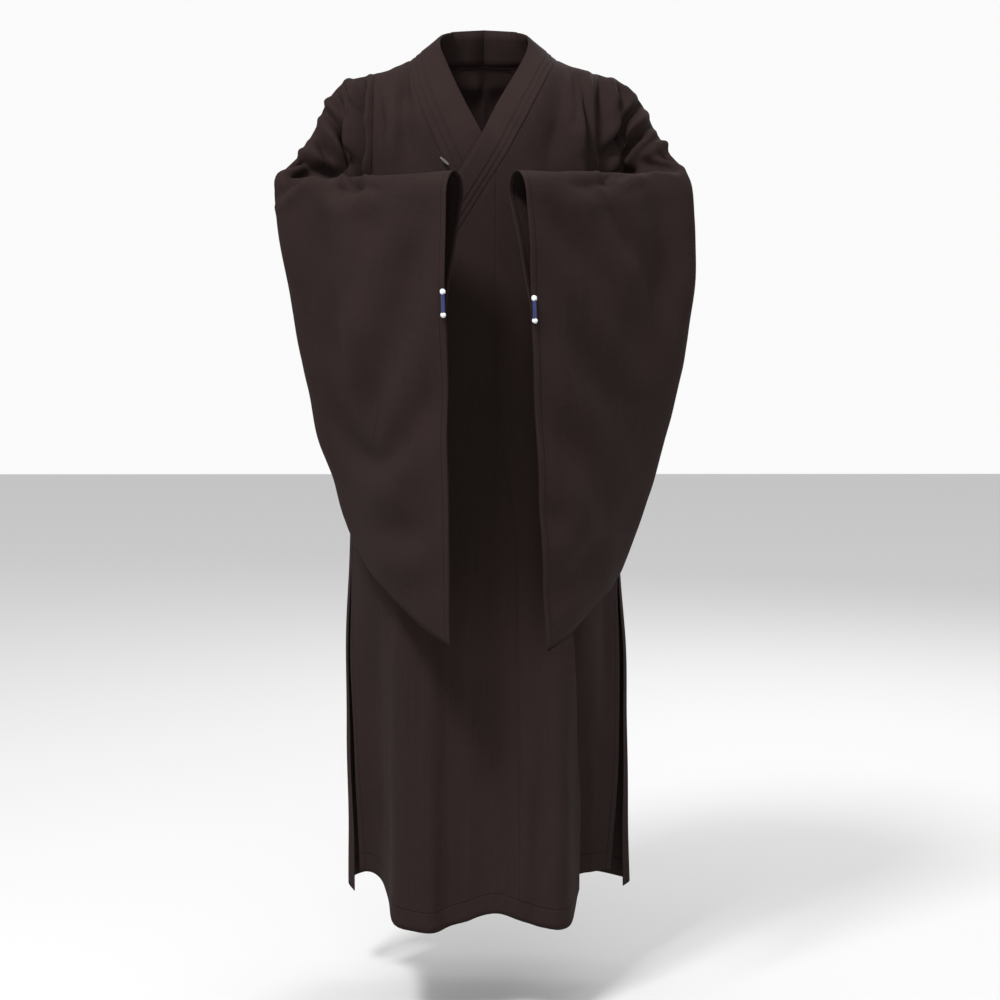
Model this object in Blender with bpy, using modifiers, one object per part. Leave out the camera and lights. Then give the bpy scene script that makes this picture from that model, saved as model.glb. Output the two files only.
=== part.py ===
"""Wide-sleeved monk's robe, closed and worn with the forearms raised and joined in front.

Axes: +Z up, +X the wearer's left, the front of the robe faces -Y.
The origin is at the nape side of the neck opening, on the shoulder line.
All lengths are metres.
"""

import math
from functools import lru_cache

import bpy
import numpy as np
from mathutils import Vector

# Cloth and seams
WALL = 0.002
SEAM_GAP = 0.0003
BEND_GAP = 0.0012
UNDERARM_GAP = 0.004
LAP_LIFT = 0.0065
# The outer front comes down onto the body between these distances from the middle
LAP_ENDS_X = 0.108
LAP_RAMP = 0.045

# Shoulders: the body turns over the shoulder line along a quarter of an oval on each side
RIDGE_Y = 0.005
SHOULDER_DEPTH = 0.12
UNDERARM = -0.36
SHOULDER_MIDDLE_X = 0.12
ARMHOLE_TOP_X = 0.17

# x, z
RIDGE_ROWS = (
    (0.000, 0.034),
    (0.050, 0.023),
    (0.080, 0.010),
    (0.108, -0.004),
    (0.138, -0.018),
    (0.175, -0.027),
    (0.230, -0.048),
)

# Plan section of the body at each height: centre, chest or knee, wing, as (x, y) from the middle
# z, centre y, chest x, chest y, wing x, wing y
FRONT_ROWS = (
    (0.03, -0.112, 0.105, -0.104, 0.165, -0.082),
    (-0.05, -0.118, 0.105, -0.108, 0.165, -0.085),
    (-0.17, -0.126, 0.108, -0.118, 0.165, -0.088),
    (-0.25, -0.131, 0.110, -0.120, 0.165, -0.083),
    (-0.36, -0.135, 0.110, -0.122, 0.164, -0.074),
    (-0.50, -0.138, 0.112, -0.120, 0.168, -0.058),
    (-0.70, -0.142, 0.116, -0.118, 0.172, -0.044),
    (-0.86, -0.147, 0.120, -0.128, 0.171, -0.044),
    (-1.00, -0.153, 0.122, -0.140, 0.165, -0.036),
    (-1.15, -0.161, 0.121, -0.153, 0.161, -0.018),
    (-1.31, -0.169, 0.120, -0.163, 0.159, -0.004),
)
# z, centre y, shoulder blade x, shoulder blade y, wing x, wing y
BACK_ROWS = (
    (0.03, 0.100, 0.105, 0.090, 0.165, 0.070),
    (-0.05, 0.106, 0.105, 0.096, 0.165, 0.074),
    (-0.17, 0.112, 0.108, 0.102, 0.165, 0.076),
    (-0.25, 0.112, 0.110, 0.103, 0.166, 0.072),
    (-0.36, 0.110, 0.110, 0.101, 0.168, 0.068),
    (-0.50, 0.110, 0.113, 0.102, 0.184, 0.070),
    (-0.70, 0.124, 0.118, 0.116, 0.194, 0.084),
    (-1.00, 0.136, 0.122, 0.128, 0.203, 0.104),
    (-1.31, 0.148, 0.122, 0.142, 0.208, 0.118),
)

# Side edges of the front and the back on each side; they part below the slit's top
# z, front x, front y, back x, back y
EDGE_ROWS_RIGHT = (
    (0.03, 0.205, 0.0042, 0.205, 0.0050),
    (-0.25, 0.199, 0.0042, 0.199, 0.0050),
    (-0.36, 0.189, 0.0046, 0.189, 0.0054),
    (-0.50, 0.199, 0.0196, 0.199, 0.0204),
    (-0.69, 0.205, 0.0296, 0.205, 0.0304),
    (-0.86, 0.203, 0.027, 0.211, 0.040),
    (-1.05, 0.200, 0.025, 0.211, 0.045),
    (-1.31, 0.194, 0.020, 0.205, 0.050),
)
EDGE_ROWS_LEFT = (
    (0.03, 0.205, 0.0042, 0.205, 0.0050),
    (-0.25, 0.199, 0.0042, 0.199, 0.0050),
    (-0.36, 0.189, 0.0046, 0.189, 0.0054),
    (-0.50, 0.199, 0.0196, 0.199, 0.0204),
    (-0.69, 0.205, 0.0296, 0.205, 0.0304),
    (-0.86, 0.208, 0.028, 0.214, 0.044),
    (-1.05, 0.211, 0.026, 0.220, 0.062),
    (-1.31, 0.196, 0.022, 0.221, 0.078),
)
# z, how far the back stands out beside its side edge
BULGE_ROWS = ((0.03, 0.0), (-0.50, 0.001), (-0.69, 0.003), (-1.0, 0.007), (-1.31, 0.011))

# Armhole edge: how far out the body reaches at each height
# z, x
ARMHOLE_ROWS = (
    (0.03, 0.1670),
    (-0.17, 0.1680),
    (-0.25, 0.1720),
    (-0.32, 0.1810),
    (-0.36, 0.1885),
)

# Seam between body and collar, seen from the front
# z, x
COLLAR_SEAM_OVER = (
    (0.02, 0.1130),
    (-0.006, 0.1080),
    (-0.026, 0.0975),
    (-0.078, 0.0705),
    (-0.132, 0.0435),
    (-0.213, -0.0075),
    (-0.280, -0.0500),
    (-0.400, -0.1250),
)
COLLAR_SEAM_UNDER = (
    (0.02, 0.1120),
    (-0.010, 0.1090),
    (-0.038, 0.1050),
    (-0.078, 0.0924),
    (-0.167, 0.0554),
    (-0.250, 0.0200),
    (-0.345, -0.0200),
    (-0.420, -0.0520),
)
UNDER_EDGE_X = -0.052
NECK_SEAM_X = 0.109
NAPE_TURN = math.radians(50.0)
# Lowest row of the collar seam that belongs to the half's own panel
OVER_SEAM_END = -0.18
UNDER_SEAM_END = -0.40

# Centre-front seam of the outer front
# z, x
FRONT_SEAM_ROWS = (
    (0.0, 0.0195),
    (-0.42, 0.0195),
    (-0.62, 0.0313),
    (-0.66, 0.0402),
    (-0.90, 0.0500),
    (-1.31, 0.0550),
)
# Free side edge of the gore: z, fraction across the section
LAP_EDGE_ROWS = (
    (-0.30, 0.740),
    (-0.42, 0.800),
    (-0.55, 0.930),
    (-0.70, 0.965),
    (-1.31, 0.985),
)

# Hem: fraction across the section, front z, back z
HEM_ROWS = (
    (0.00, -1.293, -1.290),
    (0.35, -1.297, -1.292),
    (0.52, -1.295, -1.293),
    (0.66, -1.278, -1.294),
    (0.80, -1.267, -1.298),
    (1.00, -1.266, -1.306),
)

# Collar band's free inner edge; x is taken outward on each side. Reach is the turn over the shoulder in
# degrees, from the nape at -50 to 90 at the chest, then 90 and the millimetres below the chest line
CHEST_LINE = -0.12
# reach, x, y, z
COLLAR_STAND_ROWS = (
    (-50.0, 0.0003, 0.064, 0.046),
    (-47.0, 0.0300, 0.058, 0.044),
    (-36.0, 0.0500, 0.043, 0.040),
    (-18.0, 0.0625, 0.022, 0.034),
    (0.0, 0.0670, 0.002, 0.026),
)
COLLAR_OVER_ROWS = (
    (20.0, 0.0655, -0.020, 0.010),
    (40.0, 0.0580, -0.042, -0.009),
    (64.0, 0.0410, -0.068, -0.040),
    (88.0, 0.0210, -0.095, -0.074),
    (135.0, -0.0060, -0.1270, -0.126),
    (183.0, -0.0400, -0.1385, -0.182),
    (250.0, -0.0900, -0.1395, -0.256),
    (345.0, -0.1420, -0.1180, -0.343),
)
COLLAR_UNDER_ROWS = (
    (20.0, 0.0655, -0.020, 0.012),
    (40.0, 0.0585, -0.042, -0.006),
    (64.0, 0.0440, -0.070, -0.040),
    (88.0, 0.0280, -0.094, -0.073),
    (140.0, 0.0000, -0.1190, -0.125),
    (185.0, -0.0230, -0.1235, -0.172),
    (250.0, -0.0550, -0.1260, -0.238),
    (270.0, -0.0640, -0.1265, -0.256),
)
# Band cross-section: fraction from inner edge to seam, height of the three layers
BAND_STEPS = ((0.0, 0.0026), (0.64, 0.0026), (0.655, 0.0018), (0.82, 0.0018), (0.835, 0.0010), (1.0, 0.0010))

# Sleeve sections from armhole to cuff: top point, bottom point, way the outer face looks
# (degrees from straight back, turning outward), half thickness round the arm and low in the bag
# station, top x, y, z, low x, y, z, facing, arm, bag, bow of the whole face
SLEEVE_ROWS_RIGHT = (
    (0, 0.168, 0.005, -0.026, 0.189, 0.005, -0.360, 0.0, 0.060, 0.052, 0.000),
    (1, 0.208, 0.006, -0.036, 0.206, 0.006, -0.405, 14.0, 0.054, 0.040, 0.006),
    (2, 0.226, -0.001, -0.056, 0.219, 0.010, -0.455, 34.0, 0.050, 0.030, 0.008),
    (3, 0.237, -0.014, -0.092, 0.228, 0.006, -0.520, 58.0, 0.042, 0.024, 0.010),
    (4, 0.262, -0.042, -0.140, 0.226, -0.014, -0.600, 84.0, 0.038, 0.020, 0.008),
    (5, 0.292, -0.080, -0.182, 0.207, -0.052, -0.700, 112.0, 0.034, 0.016, -0.006),
    (6, 0.238, -0.124, -0.188, 0.177, -0.100, -0.764, 133.0, 0.034, 0.014, 0.000),
    (7, 0.175, -0.184, -0.187, 0.141, -0.172, -0.802, 139.0, 0.034, 0.013, 0.004),
    (8, 0.107, -0.244, -0.185, 0.094, -0.244, -0.836, 146.0, 0.034, 0.010, 0.003),
    (9, 0.041, -0.298, -0.182, 0.049, -0.305, -0.862, 158.0, 0.034, 0.0026, 0.000),
)
SLEEVE_ROWS_LEFT = (
    (0, 0.168, 0.005, -0.026, 0.189, 0.005, -0.360, 0.0, 0.060, 0.052, 0.000),
    (1, 0.209, 0.006, -0.038, 0.206, 0.006, -0.405, 14.0, 0.054, 0.040, 0.006),
    (2, 0.228, -0.001, -0.060, 0.220, 0.010, -0.460, 34.0, 0.050, 0.032, 0.008),
    (3, 0.240, -0.014, -0.094, 0.232, 0.006, -0.535, 58.0, 0.042, 0.028, 0.014),
    (4, 0.264, -0.042, -0.138, 0.232, -0.014, -0.640, 84.0, 0.038, 0.024, 0.018),
    (5, 0.291, -0.080, -0.176, 0.209, -0.052, -0.762, 112.0, 0.034, 0.020, 0.014),
    (6, 0.239, -0.124, -0.182, 0.191, -0.106, -0.798, 133.0, 0.034, 0.016, 0.010),
    (7, 0.177, -0.184, -0.182, 0.166, -0.172, -0.815, 139.0, 0.034, 0.014, 0.008),
    (8, 0.111, -0.244, -0.182, 0.131, -0.240, -0.846, 146.0, 0.034, 0.011, 0.004),
    (9, 0.046, -0.298, -0.182, 0.091, -0.303, -0.866, 158.0, 0.034, 0.0026, -0.004),
)
# Share of a section's drop that the arm fills, and that the cuff stays open
ARM_SHARE = 0.55
CUFF_OPEN_SHARE = 0.29

# Largest folds of the skirt front: place at the top and bottom, width and depth (a negative depth stands out)
# top x, top z, low x, low z, width, depth
FRONT_FOLDS = (
    (-0.052, -0.62, -0.052, -1.31, 0.030, 0.012),
    (-0.118, -0.72, -0.126, -1.31, 0.022, -0.008),
    (0.105, -0.80, 0.118, -1.31, 0.026, -0.007),
    (0.152, -0.80, 0.160, -1.10, 0.018, 0.009),
    (0.085, -1.02, 0.078, -1.31, 0.028, 0.008),
)
BACK_FOLDS = (
    (-0.120, -0.45, -0.130, -1.31, 0.032, 0.012),
    (0.020, -0.50, 0.030, -1.31, 0.030, 0.012),
    (0.130, -0.48, 0.125, -1.31, 0.032, 0.011),
    (-0.055, -0.60, -0.050, -1.31, 0.028, -0.009),
    (0.080, -0.60, 0.085, -1.31, 0.028, -0.009),
)

# Rows of the panels: turn over the shoulder in degrees, then heights down to the hem
SHOULDER_TURNS = (0.0, 12.0, 24.0, 36.0, 46.0, 50.0, 62.0, 76.0, 90.0)
CHEST_LEVELS = (-0.17, -0.21, -0.255, -0.30, -0.335, -0.36)
SKIRT_LEVELS = (-0.42, -0.48, -0.55, -0.62, -0.69, -0.77, -0.86, -0.95, -1.04, -1.13, -1.22)
HEM_LEVEL = -1.295
OVER_SPREAD = (0.0, 0.16, 0.32, 0.47, 0.60, 0.72, 0.86, 1.0)
UNDER_SPREAD = (-0.236, -0.09, 0.10, 0.30, 0.46, 0.60, 0.70, 0.80, 0.90, 1.0)
# The gore's columns between its two edges, and how close together they may come at the collar
LAP_SPREAD = (0.10, 0.30, 0.46, 0.60, 0.70, 0.80, 0.90)
LAP_LEAST_STEP = 0.05
SLEEVE_STATIONS = 15
ARMHOLE_BLEND = 1.3
CORD_RADIUS = 0.0026
KNOT_RADIUS = 0.0038
TIE_STATION = 8.98
KNOT_GAP = 0.0030
TIE_ROWS = {1: (0.262, 0.308), -1: (0.250, 0.298)}
LOOP_RADIUS = 0.0017
LOOP_LIFT = 0.0085
LOOP_ROUTE = ((-0.0640, -0.1570), (-0.0600, -0.1600), (-0.0555, -0.1640), (-0.0515, -0.1680))

BROWN = (0.034, 0.024, 0.022, 1.0)
BLUE = (0.060, 0.110, 0.330, 1.0)
PALE = (0.720, 0.720, 0.740, 1.0)


@lru_cache(maxsize=None)
def prepared(rows):
    """Keys, values and slopes of a table, sorted by its first column."""
    data = np.array(sorted(rows), dtype=float)
    keys = data[:, 0]
    values = data[:, 1:]
    return keys, values, np.gradient(values, keys, axis=0)


def read(rows, key):
    """Row of a table at a key in its first column, joined smoothly between the given rows."""
    return smooth_row(*prepared(rows), key)


def smooth_row(keys, values, slopes, key):
    key = min(max(key, keys[0]), keys[-1])
    index = min(int(np.searchsorted(keys, key, side="right")) - 1, len(keys) - 2)
    step = keys[index + 1] - keys[index]
    t = (key - keys[index]) / step
    start = (1 + 2 * t) * (1 - t) ** 2 * values[index] + t * (1 - t) ** 2 * step * slopes[index]
    end = t * t * (3 - 2 * t) * values[index + 1] + t * t * (t - 1) * step * slopes[index + 1]
    return start + end


def ease(t):
    t = min(max(t, 0.0), 1.0)
    return t * t * (3 - 2 * t)


def ridge_z(x):
    return float(read(RIDGE_ROWS, abs(x))[0])


def fold_push(folds, x, z):
    """How far inward the folds move the cloth at a place seen from the front."""
    push = 0.0
    for top_x, top_z, low_x, low_z, width, depth in folds:
        along = (z - top_z) / (low_z - top_z)
        fold_x = top_x + (low_x - top_x) * min(max(along, 0.0), 1.0)
        across = abs(x - fold_x) / width
        if across < 1.0 and along > -0.1:
            push += depth * (1 - across * across) ** 2 * ease(along / 0.45)
    return push


@lru_cache(maxsize=4000)
def section_knots(side, front, z):
    """The plan section's own table at one height, from just past the middle to the side edge."""
    edges = read(EDGE_ROWS_LEFT if side > 0 else EDGE_ROWS_RIGHT, z)
    middle_y, chest_x, chest_y, wing_x, wing_y = read(FRONT_ROWS if front else BACK_ROWS, z)
    edge_x, edge_y = (edges[0], edges[1]) if front else (edges[2], edges[3])
    knots = [
        (-0.8, -wing_x, wing_y),
        (-0.5, -chest_x, chest_y),
        (0.0, 0.0, middle_y),
        (0.5, chest_x, chest_y),
        (0.8, wing_x, wing_y),
        (1.0, edge_x, edge_y),
    ]
    if not front:
        bulge = read(BULGE_ROWS, z)[0]
        knots.insert(5, (0.91, edge_x + bulge, 0.5 * (edge_y + wing_y)))
    return prepared(tuple(knots))


def section(side, front, fraction, z):
    """Point of the body's plan section; side is +1 on the wearer's left, fraction runs from middle to side."""
    x, y = smooth_row(*section_knots(side, front, z), fraction)
    return x, y


def fraction_at(side, front, x, z):
    """Fraction across the section where it reaches x, found by halving."""
    low, high = -0.5, 1.0
    for _ in range(26):
        middle = 0.5 * (low + high)
        if section(side, front, middle, z)[0] < x:
            low = middle
        else:
            high = middle
    return 0.5 * (low + high)


def plan_normal(side, front, fraction, z):
    """Outward direction of the plan section at a place."""
    before = section(side, front, fraction - 0.02, z)
    after = section(side, front, min(fraction + 0.02, 1.0), z)
    along_x, along_y = after[0] - before[0], after[1] - before[1]
    length = math.hypot(along_x, along_y)
    turned = Vector((along_y / length, -along_x / length, 0.0)) * (1 if front else -1)
    turned.x *= side
    return turned


def body_point(side, front, fraction, turn, z, lift=0.0):
    """Point on the body's cloth. Turn is the angle over the shoulder, 90 degrees below it."""
    x, y = section(side, front, fraction, z)
    x = x * side
    folds = FRONT_FOLDS if front else BACK_FOLDS
    inward = fold_push(folds, x, z) * ease((1.0 - abs(fraction)) / 0.12)
    point = Vector((x, y, z)) + plan_normal(side, front, fraction, z) * (lift - inward)
    point.y = RIDGE_Y + (point.y - RIDGE_Y) * math.sin(turn)
    return point


def row_height(turn, level, x):
    """Height of a panel's row at x: round the shoulder by its turn, then down to level rows."""
    if level is None:
        return ridge_z(x) - SHOULDER_DEPTH * (1 - math.cos(turn))
    return level


def lap_lift(x):
    return LAP_LIFT * ease((LAP_ENDS_X - x) / LAP_RAMP)


def collar_seam_x(side, z):
    rows = COLLAR_SEAM_OVER if side > 0 else COLLAR_SEAM_UNDER
    return float(read(rows, z)[0])


def front_inner_x(side, z):
    """Inner edge of a front panel, outward from the middle: the collar seam, then its straight edge."""
    straight = float(read(FRONT_SEAM_ROWS, z)[0]) if side > 0 else UNDER_EDGE_X
    return max(collar_seam_x(side, z), straight)


def back_inner_x(turn):
    """Inner edge of a back: the neck seam round to the nape, then the centre-back seam."""
    if turn >= NAPE_TURN:
        return SEAM_GAP / 2
    return max(NECK_SEAM_X * math.sqrt(1 - (turn / NAPE_TURN) ** 2), SEAM_GAP / 2)


def panel_point(side, front, spread, column, turn, level, hem=False):
    """Point of a body half; columns run from its inner edge to the armhole or side edge."""
    across = (spread[column] - spread[0]) / (spread[-1] - spread[0])
    inner = SHOULDER_MIDDLE_X
    for _ in range(5):
        height = row_height(turn, level, inner)
        inner = front_inner_x(side, height) if front else back_inner_x(turn if level is None else math.pi)
    inner += SEAM_GAP / 2
    outer_height = row_height(turn, level, ARMHOLE_TOP_X)
    outer = float(read(ARMHOLE_ROWS, outer_height)[0])
    z = height + (outer_height - height) * across
    first = fraction_at(side, front, inner, height)
    last = fraction_at(side, front, outer, outer_height) if outer_height > UNDERARM + 0.002 else 1.0
    fraction = first + (last - first) * across
    if hem:
        z = float(read(HEM_ROWS, abs(fraction))[0 if front else 1])
    if level is None:
        for _ in range(3):
            z = row_height(turn, level, section(side, front, fraction, z)[0])
    lift = lap_lift(section(side, front, fraction, z)[0]) if front and side > 0 else 0.0
    return body_point(side, front, fraction, turn, z, lift)


def panel_rows():
    rows = [(math.radians(turn), None, False) for turn in SHOULDER_TURNS]
    rows += [(math.pi / 2, level, False) for level in CHEST_LEVELS + SKIRT_LEVELS]
    rows.append((math.pi / 2, HEM_LEVEL, True))
    return rows


def front_spread(side):
    return OVER_SPREAD if side > 0 else UNDER_SPREAD


def back_spread(side):
    """As many columns on the back as on the front of the same half."""
    columns = len(front_spread(side))
    return tuple(index / (columns - 1) for index in range(columns))


def body_half(side):
    """Grid of one body half, from the back hem over the shoulder to the front hem."""
    rows = panel_rows()
    spread = back_spread(side)
    grid = []
    for row in reversed(rows):
        grid.append([panel_point(side, False, spread, column, *row) for column in range(len(spread))])
    spread = front_spread(side)
    for row in rows[1:]:
        grid.append([panel_point(side, True, spread, column, *row) for column in range(len(spread))])
    return grid


def overlap_grid():
    """Grid of the outer gore, from the centre-front seam across to the wearer's right side."""
    high_rows = CHEST_LEVELS + SKIRT_LEVELS[:1]
    low_rows = SKIRT_LEVELS[1:]
    top = high_rows[0]
    rows = [((level - top) / (low_rows[0] - top), low_rows[0], False) for level in high_rows]
    rows += [(1.0, level, False) for level in low_rows]
    rows.append((1.0, HEM_LEVEL, True))
    columns = len(LAP_SPREAD) + 2
    return [[overlap_point(column, *row) for column in range(columns)] for row in rows]


def overlap_point(column, blend, level, hem=False):
    """Point of the outer gore; blend runs from its collar seam down to its first level row."""
    z = level
    for _ in range(6):
        if column == 0:
            fraction = -fraction_at(-1, True, float(read(FRONT_SEAM_ROWS, z)[0]) - SEAM_GAP, z)
        elif column <= len(LAP_SPREAD):
            fraction = LAP_SPREAD[column - 1]
        else:
            fraction = float(read(LAP_EDGE_ROWS, z)[0])
        edge = float(read(LAP_EDGE_ROWS, z)[0])
        tightest = edge - LAP_LEAST_STEP * (len(LAP_SPREAD) + 1 - column)
        fraction = min(fraction, tightest)
        top = overlap_top(-section(-1, True, fraction, z)[0])
        z = top + (level - top) * blend
    if hem:
        z = float(read(HEM_ROWS, abs(fraction))[0])
    return body_point(-1, True, fraction, math.pi / 2, z, LAP_LIFT)


def overlap_top(x):
    """Height of the collar seam above a place on the outer gore."""
    low, high = -0.45, -0.02
    for _ in range(26):
        middle = 0.5 * (low + high)
        if collar_seam_x(1, middle) < x:
            low = middle
        else:
            high = middle
    return 0.5 * (low + high)


def seam_points(side):
    """Collar seam as (reach, point), from the nape round the neck and down the front."""
    points = []
    for row in reversed(panel_rows()):
        turn = -math.degrees(row[0])
        if row[1] is None and row[0] <= NAPE_TURN:
            points.append((turn, panel_point(side, False, back_spread(side), 0, *row)))
    last_level = OVER_SEAM_END if side > 0 else UNDER_SEAM_END
    for row in panel_rows()[1:]:
        if row[1] is not None and row[1] < last_level:
            break
        point = panel_point(side, True, front_spread(side), 0, *row)
        turn = math.degrees(row[0]) if row[1] is None else 90 - 1000 * (row[1] - CHEST_LINE)
        points.append((turn, point))
    if side > 0:
        for column in range(1, len(LAP_SPREAD) + 2):
            point = overlap_point(column, 0.0, SKIRT_LEVELS[1])
            points.append((90 - 1000 * (point.z - CHEST_LINE), point))
    return points


def band_edges(side):
    """Inner and outer edge points of one half of the collar band, from the nape to its lower end."""
    rows = COLLAR_STAND_ROWS + (COLLAR_OVER_ROWS if side > 0 else COLLAR_UNDER_ROWS)
    seam = seam_points(side)
    edges = []
    for index, (reach, outer) in enumerate(seam):
        edges.append((inner_point(side, rows, reach), outer))
        if index < len(seam) - 1:
            ahead_reach, ahead = seam[index + 1]
            edges.append((inner_point(side, rows, 0.5 * (reach + ahead_reach)), 0.5 * (outer + ahead)))
    return edges


def inner_point(side, rows, reach):
    x, y, z = read(rows, reach)
    return Vector((side * x, y, z))


def add_mesh(name, points, faces, material):
    mesh = bpy.data.meshes.new(name)
    mesh.from_pydata([tuple(point) for point in points], [], faces)
    mesh.update()
    mesh.materials.append(material)
    thing = bpy.data.objects.new(name, mesh)
    bpy.data.collections["monk_robe"].objects.link(thing)
    return thing


def grid_faces(rows, columns, flip=False, around=False):
    faces = []
    for i in range(rows - 1):
        for j in range(columns if around else columns - 1):
            k = (j + 1) % columns
            face = (i * columns + j, i * columns + k, (i + 1) * columns + k, (i + 1) * columns + j)
            faces.append(face[::-1] if flip else face)
    return faces


def cloth(name, grid, material, flip=False, around=False):
    """Open cloth surface given its wall by a Solidify modifier."""
    points = [point for line in grid for point in line]
    thing = add_mesh(name, points, grid_faces(len(grid), len(grid[0]), flip, around), material)
    wall = thing.modifiers.new("wall", "SOLIDIFY")
    wall.thickness = WALL
    wall.offset = 0.0
    wall.use_even_offset = False
    thing.data.shade_smooth()
    return thing


def band(name, side, material):
    """Collar band of three stepped layers, lofted along its two edges."""
    edges = band_edges(side)
    ring_size = len(BAND_STEPS) + 2
    points = []
    for index, (inner, outer) in enumerate(edges):
        ahead = edges[min(index + 1, len(edges) - 1)]
        behind = edges[max(index - 1, 0)]
        along = (ahead[0] + ahead[1]) - (behind[0] + behind[1])
        across = (outer - inner).normalized()
        normal = along.cross(across).normalized() * side
        rim = outer - across * BEND_GAP
        ring = [inner.lerp(rim, fraction) + normal * height for fraction, height in BAND_STEPS]
        ring += [rim - normal * (WALL / 2), inner - normal * (WALL / 2)]
        points += ring
    faces = grid_faces(len(edges), ring_size, side > 0, True)
    first = tuple(range(ring_size))
    last = tuple(range(len(points) - ring_size, len(points)))
    faces.append(first if side > 0 else first[::-1])
    faces.append(last[::-1] if side > 0 else last)
    return add_mesh(name, points, faces, material)


def armhole_ring(side):
    """Armhole edge of the body as (angle, point), from the shoulder down the front and up the back."""
    rows = [row for row in panel_rows() if row[1] is None or row[1] >= UNDERARM]
    front = [panel_point(side, True, front_spread(side), len(front_spread(side)) - 1, *row) for row in rows]
    back = [panel_point(side, False, back_spread(side), len(back_spread(side)) - 1, *row) for row in rows]
    top = front[0].z
    ring = []
    for point in front:
        share = min(max((top - point.z) / (top - UNDERARM), 0.0), 1.0)
        ring.append((math.acos(1 - 2 * share), point))
    for point in reversed(back[1:-1]):
        share = min(max((top - point.z) / (top - UNDERARM), 0.0), 1.0)
        ring.append((2 * math.pi - math.acos(1 - 2 * share), point))
    return ring


def bag_point(side, station, angle):
    """Point of the sleeve's own form; angle 0 is its top line, turning first over the face next to the body."""
    values = read(SLEEVE_ROWS_LEFT if side > 0 else SLEEVE_ROWS_RIGHT, station)
    top, low = Vector(values[0:3]), Vector(values[3:6])
    facing, arm, bag, bow = values[6:10]
    down = 0.5 * (1 - math.cos(angle))
    outward = Vector((math.sin(math.radians(facing)), math.cos(math.radians(facing)), 0.0))
    reach = ARM_SHARE + (CUFF_OPEN_SHARE - ARM_SHARE) * ease((station - 7.0) / 2.0)
    crown = arm / (low - top).length
    rise = math.sqrt(max(1 - (1 - min(down / crown, 1.0)) ** 2, 0.0))
    fill = min(max((reach - down) / (reach - crown), 0.0), 1.0)
    half = bag * abs(math.sin(angle)) + (arm - bag) * rise * fill
    hang = ease((station - 3.0) / 3.0) * arm * rise * (1 - fill) * (1 - down)
    face = -1.0 if angle < math.pi else 1.0
    point = top.lerp(low, down)
    point += outward * (bow * math.sin(math.pi * down) + hang + face * half)
    point.x *= side
    return point


def sleeve_point(side, station, angle, edge):
    """Point of the sleeve, drawn onto the armhole's edge at its first section."""
    near = 1 - ease(station / ARMHOLE_BLEND)
    return bag_point(side, station, angle) + (edge - bag_point(side, 0.0, angle)) * near


def sleeve_grid(side):
    ring = armhole_ring(side)
    grid = []
    for i in range(SLEEVE_STATIONS):
        station = 9.0 * i / (SLEEVE_STATIONS - 1)
        line = []
        for angle, edge in ring:
            under = (0.5 * (1 - math.cos(angle))) ** 4
            clear = edge + Vector((side * (BEND_GAP + UNDERARM_GAP * under), 0.0, 0.0))
            line.append(sleeve_point(side, station, angle, clear))
        grid.append(line)
    return grid


def material(name, colour, roughness):
    stuff = bpy.data.materials.new(name)
    stuff.use_nodes = True
    shader = stuff.node_tree.nodes["Principled BSDF"]
    shader.inputs["Base Color"].default_value = colour
    shader.inputs["Roughness"].default_value = roughness
    stuff.diffuse_color = colour
    return stuff


def rod(name, points, radius, stuff):
    """Short round cord through its points, with closed ends."""
    curve = bpy.data.curves.new(name, "CURVE")
    curve.dimensions = "3D"
    curve.bevel_depth = radius
    curve.bevel_resolution = 2
    curve.use_fill_caps = True
    spline = curve.splines.new("POLY")
    spline.points.add(len(points) - 1)
    for place, point in zip(spline.points, points):
        place.co = (point.x, point.y, point.z, 1.0)
    curve.materials.append(stuff)
    thing = bpy.data.objects.new(name, curve)
    bpy.data.collections["monk_robe"].objects.link(thing)
    return thing


def knot(name, centre, stretch, stuff):
    bpy.ops.mesh.primitive_uv_sphere_add(segments=10, ring_count=7, radius=KNOT_RADIUS, location=centre)
    thing = bpy.context.object
    thing.name = name
    thing.data.name = name
    for vertex in thing.data.vertices:
        vertex.co.z *= stretch
    thing.data.materials.append(stuff)
    thing.data.shade_smooth()
    for holder in list(thing.users_collection):
        holder.objects.unlink(thing)
    bpy.data.collections["monk_robe"].objects.link(thing)
    return thing


def cuff_tie(side, blue, pale):
    """Blue bar and its two knots on the cuff's outer face, where the sewn part begins."""
    word = "left" if side > 0 else "right"
    high, low = (cuff_face(side, share) for share in TIE_ROWS[side])
    bar = [high.lerp(low, share) for share in (0.16, 0.5, 0.84)]
    rod(f"cuff_tie_{word}", bar, CORD_RADIUS, blue)
    knot(f"cuff_tie_{word}_knot_top", high, 1.15, pale)
    knot(f"cuff_tie_{word}_knot_low", low, 1.0, pale)


def cuff_face(side, down):
    """Place just clear of the cuff's outer face, close to its edge, at a share of the cuff's height."""
    angle = 2 * math.pi - math.acos(1 - 2 * down)
    facing = math.radians(read(SLEEVE_ROWS_LEFT if side > 0 else SLEEVE_ROWS_RIGHT, TIE_STATION)[6])
    outward = Vector((side * math.sin(facing), math.cos(facing), 0.0))
    clear = WALL / 2 + KNOT_RADIUS + KNOT_GAP
    return bag_point(side, TIE_STATION, angle) + outward * clear


def collar_loop(pale):
    """Small pale loop lying across the under collar's seam, one of the pair that holds the front closed."""
    places = [body_point(-1, True, fraction_at(-1, True, -x, z), math.pi / 2, z, LOOP_LIFT) for x, z in LOOP_ROUTE]
    rod("collar_loop", places, LOOP_RADIUS, pale)


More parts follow.
